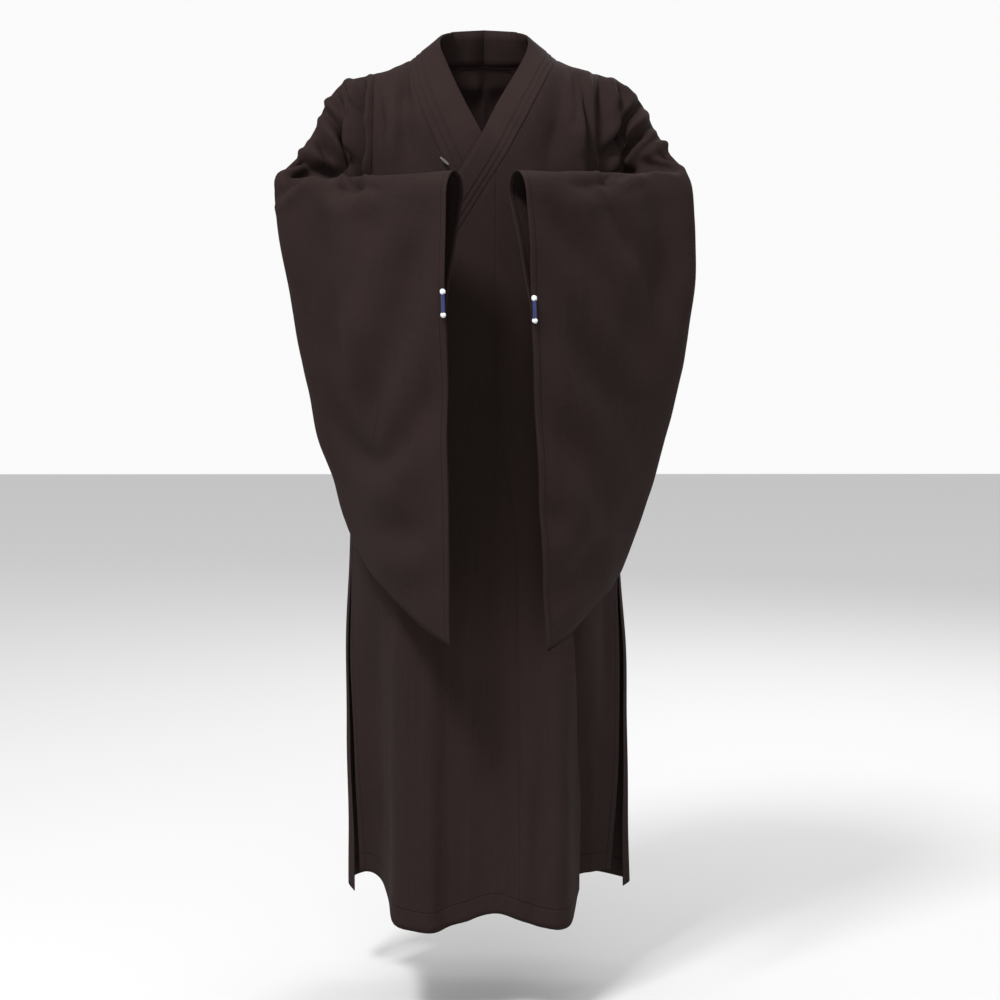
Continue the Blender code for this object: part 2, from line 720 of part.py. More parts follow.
def main():
    for thing in list(bpy.data.objects):
        bpy.data.objects.remove(thing, do_unlink=True)
    home = bpy.data.collections.new("monk_robe")
    bpy.context.scene.collection.children.link(home)
    brown = material("robe_brown", BROWN, 0.82)
    trim = material("collar_brown", BROWN, 0.80)
    blue = material("tie_blue", BLUE, 0.60)
    pale = material("knot_white", PALE, 0.65)

    cloth("body_left", body_half(1), brown, flip=False)
    cloth("body_right", body_half(-1), brown, flip=True)
    cloth("front_overlap", overlap_grid(), brown, flip=False)
    band("collar_over", 1, trim)
    band("collar_under", -1, trim)
    cloth("sleeve_left", sleeve_grid(1), brown, flip=False, around=True)
    cloth("sleeve_right", sleeve_grid(-1), brown, flip=True, around=True)
    cuff_tie(1, blue, pale)
    cuff_tie(-1, blue, pale)
    collar_loop(pale)


main()
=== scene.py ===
"""Wide-sleeved monk's robe as sewn cloth: body, gore, collar, sleeves, cuff ties and loop, on a plain stage.

The file is laid out as a Blender add-on; run as a script it builds everything once.
Axes: +Z up, +X the wearer's left, the front of the robe faces -Y. All lengths are metres.
"""

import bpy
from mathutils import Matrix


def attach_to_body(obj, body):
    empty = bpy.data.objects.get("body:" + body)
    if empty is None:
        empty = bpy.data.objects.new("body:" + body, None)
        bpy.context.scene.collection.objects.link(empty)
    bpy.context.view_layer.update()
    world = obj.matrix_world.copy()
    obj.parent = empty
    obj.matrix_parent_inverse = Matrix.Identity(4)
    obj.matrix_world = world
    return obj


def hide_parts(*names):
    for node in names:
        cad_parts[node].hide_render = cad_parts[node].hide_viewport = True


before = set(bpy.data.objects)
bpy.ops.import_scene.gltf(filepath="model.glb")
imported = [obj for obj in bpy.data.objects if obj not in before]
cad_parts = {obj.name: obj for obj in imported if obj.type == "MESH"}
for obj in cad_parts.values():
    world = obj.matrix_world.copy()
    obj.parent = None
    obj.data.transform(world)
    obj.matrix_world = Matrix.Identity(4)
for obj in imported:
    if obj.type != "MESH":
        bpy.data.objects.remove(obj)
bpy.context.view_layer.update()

import math
from functools import lru_cache

import bmesh
import bpy
import numpy as np
from mathutils import Vector

bl_info = {
    "name": "Monk's Robe",
    "version": (1, 0, 0),
    "blender": (4, 2, 0),
    "location": "View3D > Sidebar > Robe",
    "description": "Builds the cloth, ties and stage of a wide-sleeved monk's robe",
    "category": "Object",
}

# Seams and lap
SEAM_GAP = -0.0008
LAP_LIFT = 0.0065
LAP_ENDS_X = 0.108
LAP_RAMP = 0.045
COLLAR_COVER = 0.0016

# Shoulders: the body turns over the shoulder line along a quarter of an oval on each side
RIDGE_Y = 0.005
SHOULDER_DEPTH = 0.12
SHOULDER_MIDDLE_X = 0.12
ARMHOLE_TOP_X = 0.17
UNDERARM = -0.36
CHEST_LINE = -0.12
HEM_LEVEL = -1.295
SLIT_TOP = -0.69

# x, z
RIDGE_ROWS = (
    (0.000, 0.034),
    (0.050, 0.023),
    (0.080, 0.010),
    (0.108, -0.004),
    (0.138, -0.018),
    (0.175, -0.027),
    (0.230, -0.048),
)

# Fractions across the plan section at which its tables give places
CHEST_SHARE = 0.5
WING_SHARE = 0.8
BULGE_SHARE = 0.91
SECTION_STEP = 0.02

# Plan section of the body at each height, as (x, y) from the middle
# z, centre y, chest x, chest y, wing x, wing y
FRONT_ROWS = (
    (0.03, -0.112, 0.105, -0.104, 0.165, -0.082),
    (-0.05, -0.118, 0.105, -0.108, 0.165, -0.085),
    (-0.17, -0.126, 0.108, -0.118, 0.165, -0.088),
    (-0.25, -0.131, 0.110, -0.120, 0.165, -0.083),
    (-0.36, -0.135, 0.110, -0.122, 0.164, -0.074),
    (-0.50, -0.138, 0.112, -0.120, 0.168, -0.058),
    (-0.70, -0.142, 0.116, -0.118, 0.172, -0.044),
    (-0.86, -0.147, 0.120, -0.128, 0.171, -0.044),
    (-1.00, -0.153, 0.122, -0.140, 0.165, -0.036),
    (-1.15, -0.161, 0.121, -0.153, 0.161, -0.018),
    (-1.31, -0.169, 0.120, -0.163, 0.159, -0.004),
)
# z, centre y, shoulder blade x, shoulder blade y, wing x, wing y
BACK_ROWS = (
    (0.03, 0.100, 0.105, 0.090, 0.165, 0.070),
    (-0.05, 0.106, 0.105, 0.096, 0.165, 0.074),
    (-0.17, 0.112, 0.108, 0.102, 0.165, 0.076),
    (-0.25, 0.112, 0.110, 0.103, 0.166, 0.072),
    (-0.36, 0.110, 0.110, 0.101, 0.168, 0.068),
    (-0.50, 0.110, 0.113, 0.102, 0.184, 0.070),
    (-0.70, 0.124, 0.118, 0.116, 0.194, 0.084),
    (-1.00, 0.136, 0.122, 0.128, 0.203, 0.104),
    (-1.31, 0.148, 0.122, 0.142, 0.208, 0.118),
)

# Side edges of the front and the back; they part below the slit's top
# z, front x, front y, back x, back y
EDGE_ROWS_ABOVE_SLIT = (
    (0.03, 0.205, 0.0042, 0.205, 0.0050),
    (-0.25, 0.199, 0.0042, 0.199, 0.0050),
    (-0.36, 0.189, 0.0046, 0.189, 0.0054),
    (-0.50, 0.199, 0.0196, 0.199, 0.0204),
    (-0.69, 0.205, 0.0296, 0.205, 0.0304),
)
EDGE_ROWS_RIGHT = EDGE_ROWS_ABOVE_SLIT + (
    (-0.86, 0.203, 0.027, 0.211, 0.040),
    (-1.05, 0.200, 0.025, 0.211, 0.045),
    (-1.31, 0.194, 0.020, 0.205, 0.050),
)
EDGE_ROWS_LEFT = EDGE_ROWS_ABOVE_SLIT + (
    (-0.86, 0.208, 0.028, 0.214, 0.044),
    (-1.05, 0.211, 0.026, 0.220, 0.062),
    (-1.31, 0.196, 0.022, 0.221, 0.078),
)
# z, how far the back stands out beside its side edge
BULGE_ROWS = ((0.03, 0.0), (-0.50, 0.001), (-0.69, 0.003), (-1.0, 0.007), (-1.31, 0.011))

# Armhole edge: how far out the body reaches at each height, as z, x
ARMHOLE_ROWS = (
    (0.03, 0.1670),
    (-0.17, 0.1680),
    (-0.25, 0.1720),
    (-0.32, 0.1810),
    (-0.36, 0.1885),
)

# Seam between body and collar, seen from the front, as z, x
COLLAR_SEAM_OVER = (
    (0.02, 0.1130),
    (-0.006, 0.1080),
    (-0.026, 0.0975),
    (-0.078, 0.0705),
    (-0.132, 0.0435),
    (-0.213, -0.0075),
    (-0.280, -0.0500),
    (-0.400, -0.1250),
)
COLLAR_SEAM_UNDER = (
    (0.02, 0.1120),
    (-0.010, 0.1090),
    (-0.038, 0.1050),
    (-0.078, 0.0924),
    (-0.167, 0.0554),
    (-0.250, 0.0200),
    (-0.345, -0.0200),
    (-0.420, -0.0520),
)
UNDER_EDGE_X = -0.052
NECK_SEAM_X = 0.109
NAPE_TURN = math.radians(50.0)
UNDER_SEAM_END = -0.40

# Centre-front seam of the outer front, as z, x
FRONT_SEAM_ROWS = (
    (0.0, 0.0195),
    (-0.42, 0.0195),
    (-0.62, 0.0313),
    (-0.66, 0.0402),
    (-0.90, 0.0500),
    (-1.31, 0.0550),
)
# Free side edge of the gore, as z, fraction across the section
LAP_EDGE_ROWS = (
    (-0.30, 0.740),
    (-0.42, 0.800),
    (-0.55, 0.930),
    (-0.70, 0.965),
    (-1.31, 0.985),
)
# Hem: fraction across the section, front z, back z
HEM_ROWS = (
    (0.00, -1.293, -1.290),
    (0.35, -1.297, -1.292),
    (0.52, -1.295, -1.293),
    (0.66, -1.278, -1.294),
    (0.80, -1.267, -1.298),
    (1.00, -1.266, -1.306),
)

# Rows of the skirt bend down or up to the hem below this height
HEM_BEND = -1.12
# Waves of the front hem, as x, height
HEM_WAVES = (
    (-0.21, 0.000),
    (-0.15, 0.000),
    (-0.115, -0.006),
    (-0.070, -0.010),
    (-0.020, 0.004),
    (0.036, 0.012),
    (0.075, 0.000),
    (0.125, -0.009),
    (0.165, 0.000),
    (0.210, 0.000),
)

# Collar band's free inner edge; x is taken outward on each side. Reach is the turn over the shoulder in
# degrees, from the nape at -50 to 90 at the chest, then 90 and the millimetres below the chest line
# reach, x, y, z
COLLAR_STAND_ROWS = (
    (-50.0, -0.0005, 0.064, 0.046),
    (-47.0, 0.0300, 0.058, 0.044),
    (-36.0, 0.0500, 0.043, 0.040),
    (-18.0, 0.0625, 0.022, 0.034),
    (0.0, 0.0670, 0.002, 0.026),
)
COLLAR_OVER_ROWS = (
    (20.0, 0.0655, -0.020, 0.010),
    (40.0, 0.0580, -0.042, -0.009),
    (64.0, 0.0410, -0.068, -0.040),
    (88.0, 0.0210, -0.095, -0.074),
    (135.0, -0.0060, -0.1270, -0.126),
    (183.0, -0.0400, -0.1385, -0.182),
    (250.0, -0.0900, -0.1395, -0.256),
    (345.0, -0.1420, -0.1180, -0.343),
)
COLLAR_UNDER_ROWS = (
    (20.0, 0.0655, -0.020, 0.012),
    (40.0, 0.0585, -0.042, -0.006),
    (64.0, 0.0440, -0.070, -0.040),
    (88.0, 0.0280, -0.094, -0.073),
    (140.0, 0.0000, -0.1190, -0.125),
    (185.0, -0.0230, -0.1235, -0.172),
    (250.0, -0.0550, -0.1260, -0.238),
    (270.0, -0.0640, -0.1265, -0.256),
)
# Band cross-section: share from inner edge to seam, height of the three stepped layers with rounded folds
BAND_PROFILE = (
    (0.000, 0.0006),
    (0.006, 0.0019),
    (0.020, 0.0026),
    (0.200, 0.0028),
    (0.400, 0.0029),
    (0.600, 0.0029),
    (0.625, 0.0028),
    (0.640, 0.0024),
    (0.650, 0.0016),
    (0.662, 0.0018),
    (0.680, 0.0020),
    (0.740, 0.0020),
    (0.805, 0.0019),
    (0.820, 0.0016),
    (0.830, 0.0008),
    (0.842, 0.0010),
    (0.860, 0.0012),
    (0.940, 0.0012),
    (0.985, 0.0010),
    (1.000, 0.0003),
)
BAND_UNDERSIDE = -0.0009

# Sleeve sections from armhole to cuff: top point, bottom point, way the outer face looks
# (degrees from straight back, turning outward), half thickness round the arm and low in the bag
# station, top x, y, z, low x, y, z, facing, arm, bag, bow of the whole face
SLEEVE_ROWS_RIGHT = (
    (0, 0.168, 0.005, -0.026, 0.189, 0.005, -0.360, 0.0, 0.060, 0.052, 0.000),
    (1, 0.208, 0.006, -0.036, 0.206, 0.006, -0.405, 14.0, 0.054, 0.040, 0.006),
    (2, 0.226, -0.001, -0.056, 0.219, 0.010, -0.455, 34.0, 0.050, 0.030, 0.008),
    (3, 0.237, -0.014, -0.092, 0.228, 0.006, -0.520, 58.0, 0.042, 0.024, 0.010),
    (4, 0.262, -0.042, -0.140, 0.226, -0.014, -0.600, 84.0, 0.038, 0.020, 0.008),
    (5, 0.292, -0.080, -0.182, 0.207, -0.052, -0.700, 112.0, 0.034, 0.016, -0.006),
    (6, 0.238, -0.124, -0.188, 0.177, -0.100, -0.764, 133.0, 0.034, 0.014, 0.000),
    (7, 0.175, -0.184, -0.187, 0.141, -0.172, -0.802, 139.0, 0.034, 0.013, 0.004),
    (8, 0.107, -0.244, -0.185, 0.094, -0.244, -0.836, 146.0, 0.034, 0.010, 0.003),
    (9, 0.041, -0.298, -0.182, 0.049, -0.305, -0.862, 158.0, 0.034, 0.0014, 0.000),
)
SLEEVE_ROWS_LEFT = (
    (0, 0.168, 0.005, -0.026, 0.189, 0.005, -0.360, 0.0, 0.060, 0.052, 0.000),
    (1, 0.209, 0.006, -0.038, 0.206, 0.006, -0.405, 14.0, 0.054, 0.040, 0.006),
    (2, 0.228, -0.001, -0.060, 0.220, 0.010, -0.460, 34.0, 0.050, 0.032, 0.008),
    (3, 0.240, -0.014, -0.094, 0.232, 0.006, -0.535, 58.0, 0.042, 0.028, 0.014),
    (4, 0.264, -0.042, -0.138, 0.232, -0.014, -0.640, 84.0, 0.038, 0.024, 0.018),
    (5, 0.291, -0.080, -0.176, 0.209, -0.052, -0.762, 112.0, 0.034, 0.020, 0.014),
    (6, 0.239, -0.124, -0.182, 0.191, -0.106, -0.798, 133.0, 0.034, 0.016, 0.010),
    (7, 0.177, -0.184, -0.182, 0.166, -0.172, -0.815, 139.0, 0.034, 0.014, 0.008),
    (8, 0.111, -0.244, -0.182, 0.131, -0.240, -0.846, 146.0, 0.034, 0.011, 0.004),
    (9, 0.046, -0.298, -0.182, 0.091, -0.303, -0.866, 158.0, 0.034, 0.0014, -0.004),
)
ARM_SHARE = 0.55
CUFF_OPEN_SHARE = 0.29
ARMHOLE_BLEND = 1.3
# Stations from which the sleeve takes its cuff's form and hangs below the arm
CUFF_FORM_START = 7.0
CUFF_FORM_RAMP = 2.0
HANG_START = 3.0
HANG_RAMP = 3.0

# Long folds of the skirt: place at the top and bottom, width and depth (a negative depth stands out)
# top x, top z, low x, low z, width, depth
FRONT_FOLDS = (
    (-0.052, -0.62, -0.052, -1.31, 0.030, 0.014),
    (-0.118, -0.72, -0.126, -1.31, 0.022, -0.009),
    (0.105, -0.80, 0.118, -1.31, 0.026, -0.008),
    (0.136, -0.76, 0.158, -1.14, 0.012, 0.014),
    (0.085, -1.02, 0.078, -1.31, 0.028, 0.010),
)
BACK_FOLDS = (
    (-0.120, -0.45, -0.130, -1.31, 0.032, 0.012),
    (0.020, -0.50, 0.030, -1.31, 0.030, 0.012),
    (0.130, -0.48, 0.125, -1.31, 0.032, 0.011),
    (-0.055, -0.60, -0.050, -1.31, 0.028, -0.009),
    (0.080, -0.60, 0.085, -1.31, 0.028, -0.009),
)

# Creases of the front and the back, each with a size of its own: half width, depth, then the places
# it runs through as (x, z)
BODY_FRONT_CREASES = (
    (0.0075, 0.0069, ((0.141, -0.830), (0.147, -0.900), (0.153, -0.980), (0.160, -1.060))),
    (0.0100, 0.0057, ((0.186, -0.760), (0.190, -0.880), (0.194, -1.000))),
    (0.0160, 0.0057, ((-0.160, -0.780), (-0.168, -0.950), (-0.160, -1.180))),
    (0.0220, 0.0057, ((0.004, -0.900), (0.010, -1.080), (0.020, -1.280))),
    (0.0064, 0.0196, ((0.146, -0.036), (0.152, -0.064), (0.156, -0.095), (0.158, -0.124),
                      (0.160, -0.150), (0.162, -0.185))),
    (0.0060, 0.0086, ((0.132, -0.030), (0.138, -0.055), (0.140, -0.085), (0.138, -0.110))),
    (0.0077, 0.0080, ((-0.118, -0.004), (-0.117, -0.028), (-0.117, -0.055), (-0.113, -0.080))),
    (0.0099, 0.0101, ((-0.158, -0.050), (-0.156, -0.090), (-0.157, -0.130), (-0.160, -0.180))),
    (0.0154, 0.0071, ((-0.128, -0.045), (-0.120, -0.100), (-0.104, -0.160))),
    (0.0154, 0.0061, ((0.118, -0.060), (0.106, -0.120), (0.090, -0.175))),
)
BODY_BACK_CREASES = (
    (0.0200, 0.0080, ((-0.030, -0.120), (-0.040, -0.220), (-0.060, -0.330), (-0.090, -0.430))),
    (0.0180, 0.0070, ((0.050, -0.140), (0.056, -0.240), (0.074, -0.350), (0.105, -0.450))),
    (0.0088, 0.0102, ((0.150, -0.050), (0.153, -0.090), (0.157, -0.140), (0.163, -0.200))),
    (0.0088, 0.0102, ((-0.150, -0.045), (-0.154, -0.095), (-0.156, -0.150), (-0.164, -0.210))),
    (0.0110, 0.0076, ((0.128, -0.080), (0.120, -0.150), (0.124, -0.230), (0.138, -0.300))),
    (0.0110, 0.0076, ((-0.126, -0.090), (-0.118, -0.160), (-0.126, -0.250), (-0.142, -0.320))),
    (0.0176, 0.0068, ((0.095, -0.020), (0.040, -0.034), (0.000, -0.038), (-0.045, -0.034), (-0.098, -0.018))),
    (0.0154, 0.0068, ((0.160, -0.330), (0.120, -0.380), (0.060, -0.420))),
    (0.0154, 0.0068, ((-0.160, -0.340), (-0.115, -0.395), (-0.050, -0.430))),
)
SLEEVE_FRONT_CREASES_RIGHT = (
    (0.0068, 0.0299, ((-0.184, -0.034), (-0.183, -0.070), (-0.182, -0.105), (-0.183, -0.140),
                      (-0.184, -0.170), (-0.187, -0.205))),
    (0.0066, 0.0195, ((-0.246, -0.078), (-0.228, -0.098), (-0.215, -0.120), (-0.204, -0.148),
                      (-0.193, -0.186))),
    (0.0084, 0.0101, ((-0.226, -0.042), (-0.220, -0.068), (-0.210, -0.090), (-0.203, -0.118))),
    (0.0072, 0.0101, ((-0.196, -0.026), (-0.192, -0.060), (-0.184, -0.092))),
    (0.0060, 0.0156, ((-0.212, -0.046), (-0.194, -0.084), (-0.182, -0.112), (-0.178, -0.146))),
    (0.0066, 0.0160, ((-0.296, -0.172), (-0.277, -0.161), (-0.250, -0.171), (-0.224, -0.184))),
    (0.0078, 0.0160, ((-0.306, -0.214), (-0.288, -0.194), (-0.263, -0.180), (-0.240, -0.180))),
    (0.0072, 0.0114, ((-0.262, -0.112), (-0.246, -0.132), (-0.232, -0.158), (-0.222, -0.176))),
    (0.0132, 0.0126, ((-0.226, -0.196), (-0.200, -0.206), (-0.176, -0.200), (-0.150, -0.206))),
)
SLEEVE_FRONT_CREASES_LEFT = (
    (0.0080, 0.0221, ((0.177, -0.030), (0.177, -0.075), (0.176, -0.110), (0.177, -0.150), (0.180, -0.190))),
    (0.0066, 0.0195, ((0.238, -0.072), (0.222, -0.090), (0.210, -0.109), (0.198, -0.130),
                      (0.190, -0.150), (0.182, -0.180))),
    (0.0066, 0.0195, ((0.262, -0.098), (0.244, -0.114), (0.225, -0.131), (0.211, -0.149),
                      (0.203, -0.165), (0.197, -0.186))),
    (0.0060, 0.0081, ((0.204, -0.048), (0.212, -0.062), (0.205, -0.080))),
    (0.0072, 0.0137, ((0.200, -0.184), (0.223, -0.175), (0.240, -0.172))),
    (0.0066, 0.0137, ((0.236, -0.164), (0.258, -0.166), (0.284, -0.170))),
    (0.0066, 0.0137, ((0.240, -0.160), (0.262, -0.150), (0.292, -0.158))),
    (0.0072, 0.0114, ((0.272, -0.116), (0.250, -0.132), (0.234, -0.150), (0.222, -0.168))),
    (0.0132, 0.0114, ((0.118, -0.198), (0.146, -0.200), (0.176, -0.196), (0.206, -0.202))),
)
# Wide drapes of the hanging bags, which move both faces of a sleeve together
SLEEVE_DRAPES_RIGHT = (
    (0.0300, 0.0224, ((-0.066, -0.200), (-0.096, -0.300), (-0.132, -0.410), (-0.168, -0.520),
                      (-0.186, -0.620))),
    (0.0240, 0.0146, ((-0.040, -0.390), (-0.062, -0.470), (-0.098, -0.545), (-0.140, -0.590))),
    (0.0170, 0.0123, ((-0.226, -0.500), (-0.214, -0.556), (-0.190, -0.596), (-0.156, -0.604),
                      (-0.122, -0.570))),
    (0.0242, 0.0156, ((-0.246, -0.230), (-0.236, -0.330), (-0.222, -0.440), (-0.214, -0.520))),
    (0.0300, 0.0090, ((-0.200, -0.640), (-0.160, -0.690), (-0.110, -0.700), (-0.046, -0.650))),
    (0.0220, 0.0122, ((-0.150, -0.215), (-0.170, -0.290), (-0.186, -0.370))),
    (0.0220, 0.0056, ((-0.036, -0.716), (-0.080, -0.772), (-0.130, -0.790))),
)
SLEEVE_DRAPES_LEFT = (
    (0.0240, 0.0190, ((0.080, -0.215), (0.123, -0.270), (0.168, -0.330), (0.214, -0.420), (0.236, -0.500))),
    (0.0270, 0.0190, ((0.088, -0.320), (0.136, -0.400), (0.180, -0.490), (0.216, -0.590))),
    (0.0240, 0.0140, ((0.084, -0.500), (0.120, -0.556), (0.160, -0.620), (0.190, -0.690))),
    (0.0220, 0.0123, ((0.088, -0.800), (0.122, -0.766), (0.160, -0.742), (0.196, -0.728))),
    (0.0242, 0.0156, ((0.262, -0.240), (0.258, -0.330), (0.250, -0.440))),
    (0.0190, 0.0095, ((0.086, -0.650), (0.116, -0.684), (0.146, -0.720))),
    (0.0176, 0.0122, ((0.160, -0.215), (0.196, -0.262), (0.232, -0.330))),
)
SLEEVE_BACK_CREASES_RIGHT = (
    (0.0092, 0.0102, ((-0.178, -0.060), (-0.178, -0.120), (-0.182, -0.190), (-0.188, -0.270))),
    (0.0103, 0.0102, ((-0.236, -0.080), (-0.218, -0.120), (-0.204, -0.170), (-0.198, -0.240))),
    (0.0115, 0.0102, ((-0.262, -0.130), (-0.240, -0.170), (-0.222, -0.230), (-0.212, -0.310))),
    (0.0207, 0.0119, ((-0.260, -0.240), (-0.244, -0.330), (-0.232, -0.430))),
    (0.0230, 0.0102, ((-0.220, -0.330), (-0.214, -0.410), (-0.216, -0.500))),
)
SLEEVE_BACK_CREASES_LEFT = (
    (0.0092, 0.0102, ((0.178, -0.055), (0.178, -0.110), (0.182, -0.180), (0.189, -0.280))),
    (0.0103, 0.0102, ((0.240, -0.085), (0.220, -0.120), (0.206, -0.165), (0.200, -0.230))),
    (0.0115, 0.0102, ((0.258, -0.125), (0.238, -0.170), (0.224, -0.240), (0.216, -0.330))),
    (0.0207, 0.0119, ((0.262, -0.230), (0.250, -0.330), (0.240, -0.450))),
    (0.0230, 0.0102, ((0.222, -0.350), (0.218, -0.450), (0.222, -0.560))),
)

# Cuff ties and collar loop
TIE_STATION = 8.98
TIE_ROWS = {1: (0.262, 0.308), -1: (0.250, 0.298)}
KNOT_RADIUS = 0.0038
KNOT_CLEAR = 0.0070
STRAND_RADIUS = 0.0016
STRAND_OFFSET = 0.0013
LOOP_RADIUS = 0.0008
LOOP_LIFT = 0.0085
LOOP_HALF_WIDTH = 0.0010
LOOP_SHARE = 0.85
LOOP_ROUTE = ((-0.0645, -0.1562), (-0.0600, -0.1600), (-0.0555, -0.1640), (-0.0510, -0.1684))
LOOP_STEPS = 36
STRAND_START = 0.10
STRAND_TURNS = 5
STRAND_STEPS = 48
STRAND_SIDES = 12
CORD_SIDES = 10
HEART_SIDES = 20
# Knots: radii of the heart, the wound turns and their cord as shares of the knot's radius
HEART_SHARE = 0.80
TOP_KNOT_STRETCH = 1.15
TURN_SHARE = 0.82
CORD_SHARE = 0.26
TURN_STEPS = 28
# Lean and heading of the axis of each wound turn
KNOT_TURNS = ((0.5, 0.0), (-0.6, 0.5), (1.2, 1.3), (-1.2, 2.2))

# Surfaces: roughness, specular, sheen, sheen roughness, sheen tint
CLOTH_SURFACE = (0.86, 0.03, 0.010, 0.40, (0.90, 0.74, 0.70, 1.0))
CORD_SURFACE = (0.55, 0.30, 0.10)
FLOOR_SURFACE = (0.9, 0.1)
# Cords: painted shade in the hollows between strands as a share of the cord's colour, scale of the strands,
# relief
TIE_CORD = (0.45, 320.0, 0.0003)
PALE_CORD = (0.72, 380.0, 0.0002)

# Look of the cloth: noise sizes, shares of the cloth colour, and shares of the relief
STREAK_STRETCHES = ((220.0, 9.0, 1.0), (9.0, 220.0, 1.0))
STITCH_LENGTH = 0.0032
# Two limits each: half width of a stitch's line, half length as a share, the turn's raised edge
STITCH_LINE = (0.0003, 0.0009)
STITCH_END = (0.30, 0.42)
TURN_EDGE = (-0.0040, -0.0005)
CLOUD_RANGE = (0.35, 0.65)
STREAK_RANGE = (0.30, 0.70)
CLOUD_SCALE = 5.0
RUMPLE_SCALE = 26.0
CLOUD_DARK = (0.93, 0.92, 0.93)
CLOUD_LIGHT = (1.07, 1.05, 1.04)
THREAD_LIGHT = (1.30, 1.26, 1.24)
STITCH_DARK = (0.42, 0.42, 0.42)
THREAD_TONE_SHARE = 0.55
STITCH_TONE_SHARE = 0.8
WEAVE_RELIEF = 0.10
RUMPLE_RELIEF = 0.9
TURN_RELIEF = 0.7
STITCH_RELIEF = 0.5
CLOTH_RELIEF = 0.0010
CLOTH_WAVE = 0.0011
CLOTH_RIPPLE = 0.0006

# How finely the cloth is laid out
GORE_BLENDS = 56
GORE_LEVEL = -0.48
CHEST_ROWS_START = 0.027
LAP_SEAM_LOW = -0.45
LAP_SEAM_HIGH = -0.02
HALVINGS = 20
SEAM_HALVINGS = 18
LAST_STATION = 9.0
TURN_STEP = 3.0
ROW_STEP_HIGH = 0.0055
ROW_STEP_LOW = 0.0085
COARSE_COLUMNS = 11
FINE_COLUMNS = 46
SLEEVE_STATIONS = 210
EDGE_COLUMNS = (0.006, 0.013)
SEAM_DIP = 0.0010
SEAM_DIP_WIDTH = 0.0035
NO_EDGE = 1.0
JOIN_DISTANCE = 0.00002
RING_JOIN_DISTANCE = 0.000005
LEVEL_ONLY = np.array((1.0, 1.0, 0.0))
UPWARD = np.array((0.0, 0.0, 0.02))

# Creases: how round their troughs are, how their ridges and ends look, and how they fade beside seams
CREASE_POWER = 1.5
DRAPE_POWER = 2.0
CREASE_END_SHARE = 0.06
CREASE_END_POWER = 0.8
UNEVEN_DEPTH = 0.22
RIDGE_HEIGHT = 0.42
RIDGE_PLACE = 2.1
RIDGE_WIDTH = 1.1
FACING_RAMP = 0.30
FOLD_FACING_RAMP = 0.15
FOLD_RAMP = 0.45
SEAM_KEEP = 0.012
SIDE_KEEP = 0.010
SLIT_RAMP = 0.05
ARMHOLE_KEEP = 0.0055
CUFF_CREASE_SHARE = 0.25
CUFF_CREASE_REACH = 0.05
CUFF_DRAPE_SHARE = 0.45
CUFF_DRAPE_REACH = 0.09
DRAPES_START = 3.6
DRAPES_RAMP = 1.6

# Stage; a lamp's last value is its share of the key light
# name, place, size, share
LAMPS = (
    ("key", (-1.3, -2.3, 2.8), 0.9, 1.0),
    ("fill", (0.7, -4.3, 0.4), 2.0, 0.22),
    ("back", (1.2, 2.8, 1.4), 1.6, 0.3),
)
LAMP_TARGET = (0.0, 0.0, -0.55)
SKY_STRENGTH = 0.96
FLOOR_HALF_SIZE = 9.0
FLOOR_COLOUR = (0.54, 0.54, 0.54, 1.0)
FILM_WIDTH = 36.0
CAMERA_X = 0.0063
CAMERA_SHIFT = -0.04


class RobeCloth(bpy.types.PropertyGroup):
    """How the robe's cloth is made and how strongly it is creased."""

    wall: bpy.props.FloatProperty(
        name="Cloth thickness",
        description="Thickness of one layer",
        default=0.0012,
        min=0.0006,
        max=0.003,
        unit="LENGTH",
    )
    creases: bpy.props.FloatProperty(
        name="Crease strength",
        description="Depth of the creases against their own sizes",
        default=1.0,
        min=0.0,
        max=2.0,
        subtype="FACTOR",
    )
    hem_turn: bpy.props.FloatProperty(
        name="Hem turn-up",
        description="Height of the stitched turn-up at the skirt's hem",
        default=0.030,
        min=0.005,
        max=0.08,
        unit="LENGTH",
    )
    side_turn: bpy.props.FloatProperty(
        name="Edge turn",
        description="Width of the stitched turn at the cuffs and slit edges",
        default=0.010,
        min=0.003,
        max=0.03,
        unit="LENGTH",
    )
    colour: bpy.props.FloatVectorProperty(
        name="Cloth colour",
        description="Colour of the brown cloth",
        default=(0.0176, 0.0115, 0.0109),
        size=3,
        min=0.0,
        max=1.0,
        subtype="COLOR",
    )
    thread: bpy.props.FloatProperty(
        name="Threads",
        description="Threads of the weave in one metre",
        default=1500.0,
        min=300.0,
        max=4000.0,
    )
    tie_colour: bpy.props.FloatVectorProperty(
        name="Tie colour",
        description="Colour of the blue cuff ties",
        default=(0.020, 0.033, 0.150),
        size=3,
        min=0.0,
        max=1.0,
        subtype="COLOR",
    )
    knot_colour: bpy.props.FloatVectorProperty(
        name="Knot colour",
        description="Colour of the white knots",
        default=(0.74, 0.74, 0.76),
        size=3,
        min=0.0,
        max=1.0,
        subtype="COLOR",
    )
    loop_colour: bpy.props.FloatVectorProperty(
        name="Loop colour",
        description="Colour of the pale collar loop",
        default=(0.13, 0.12, 0.12),
        size=3,
        min=0.0,
        max=1.0,
        subtype="COLOR",
    )


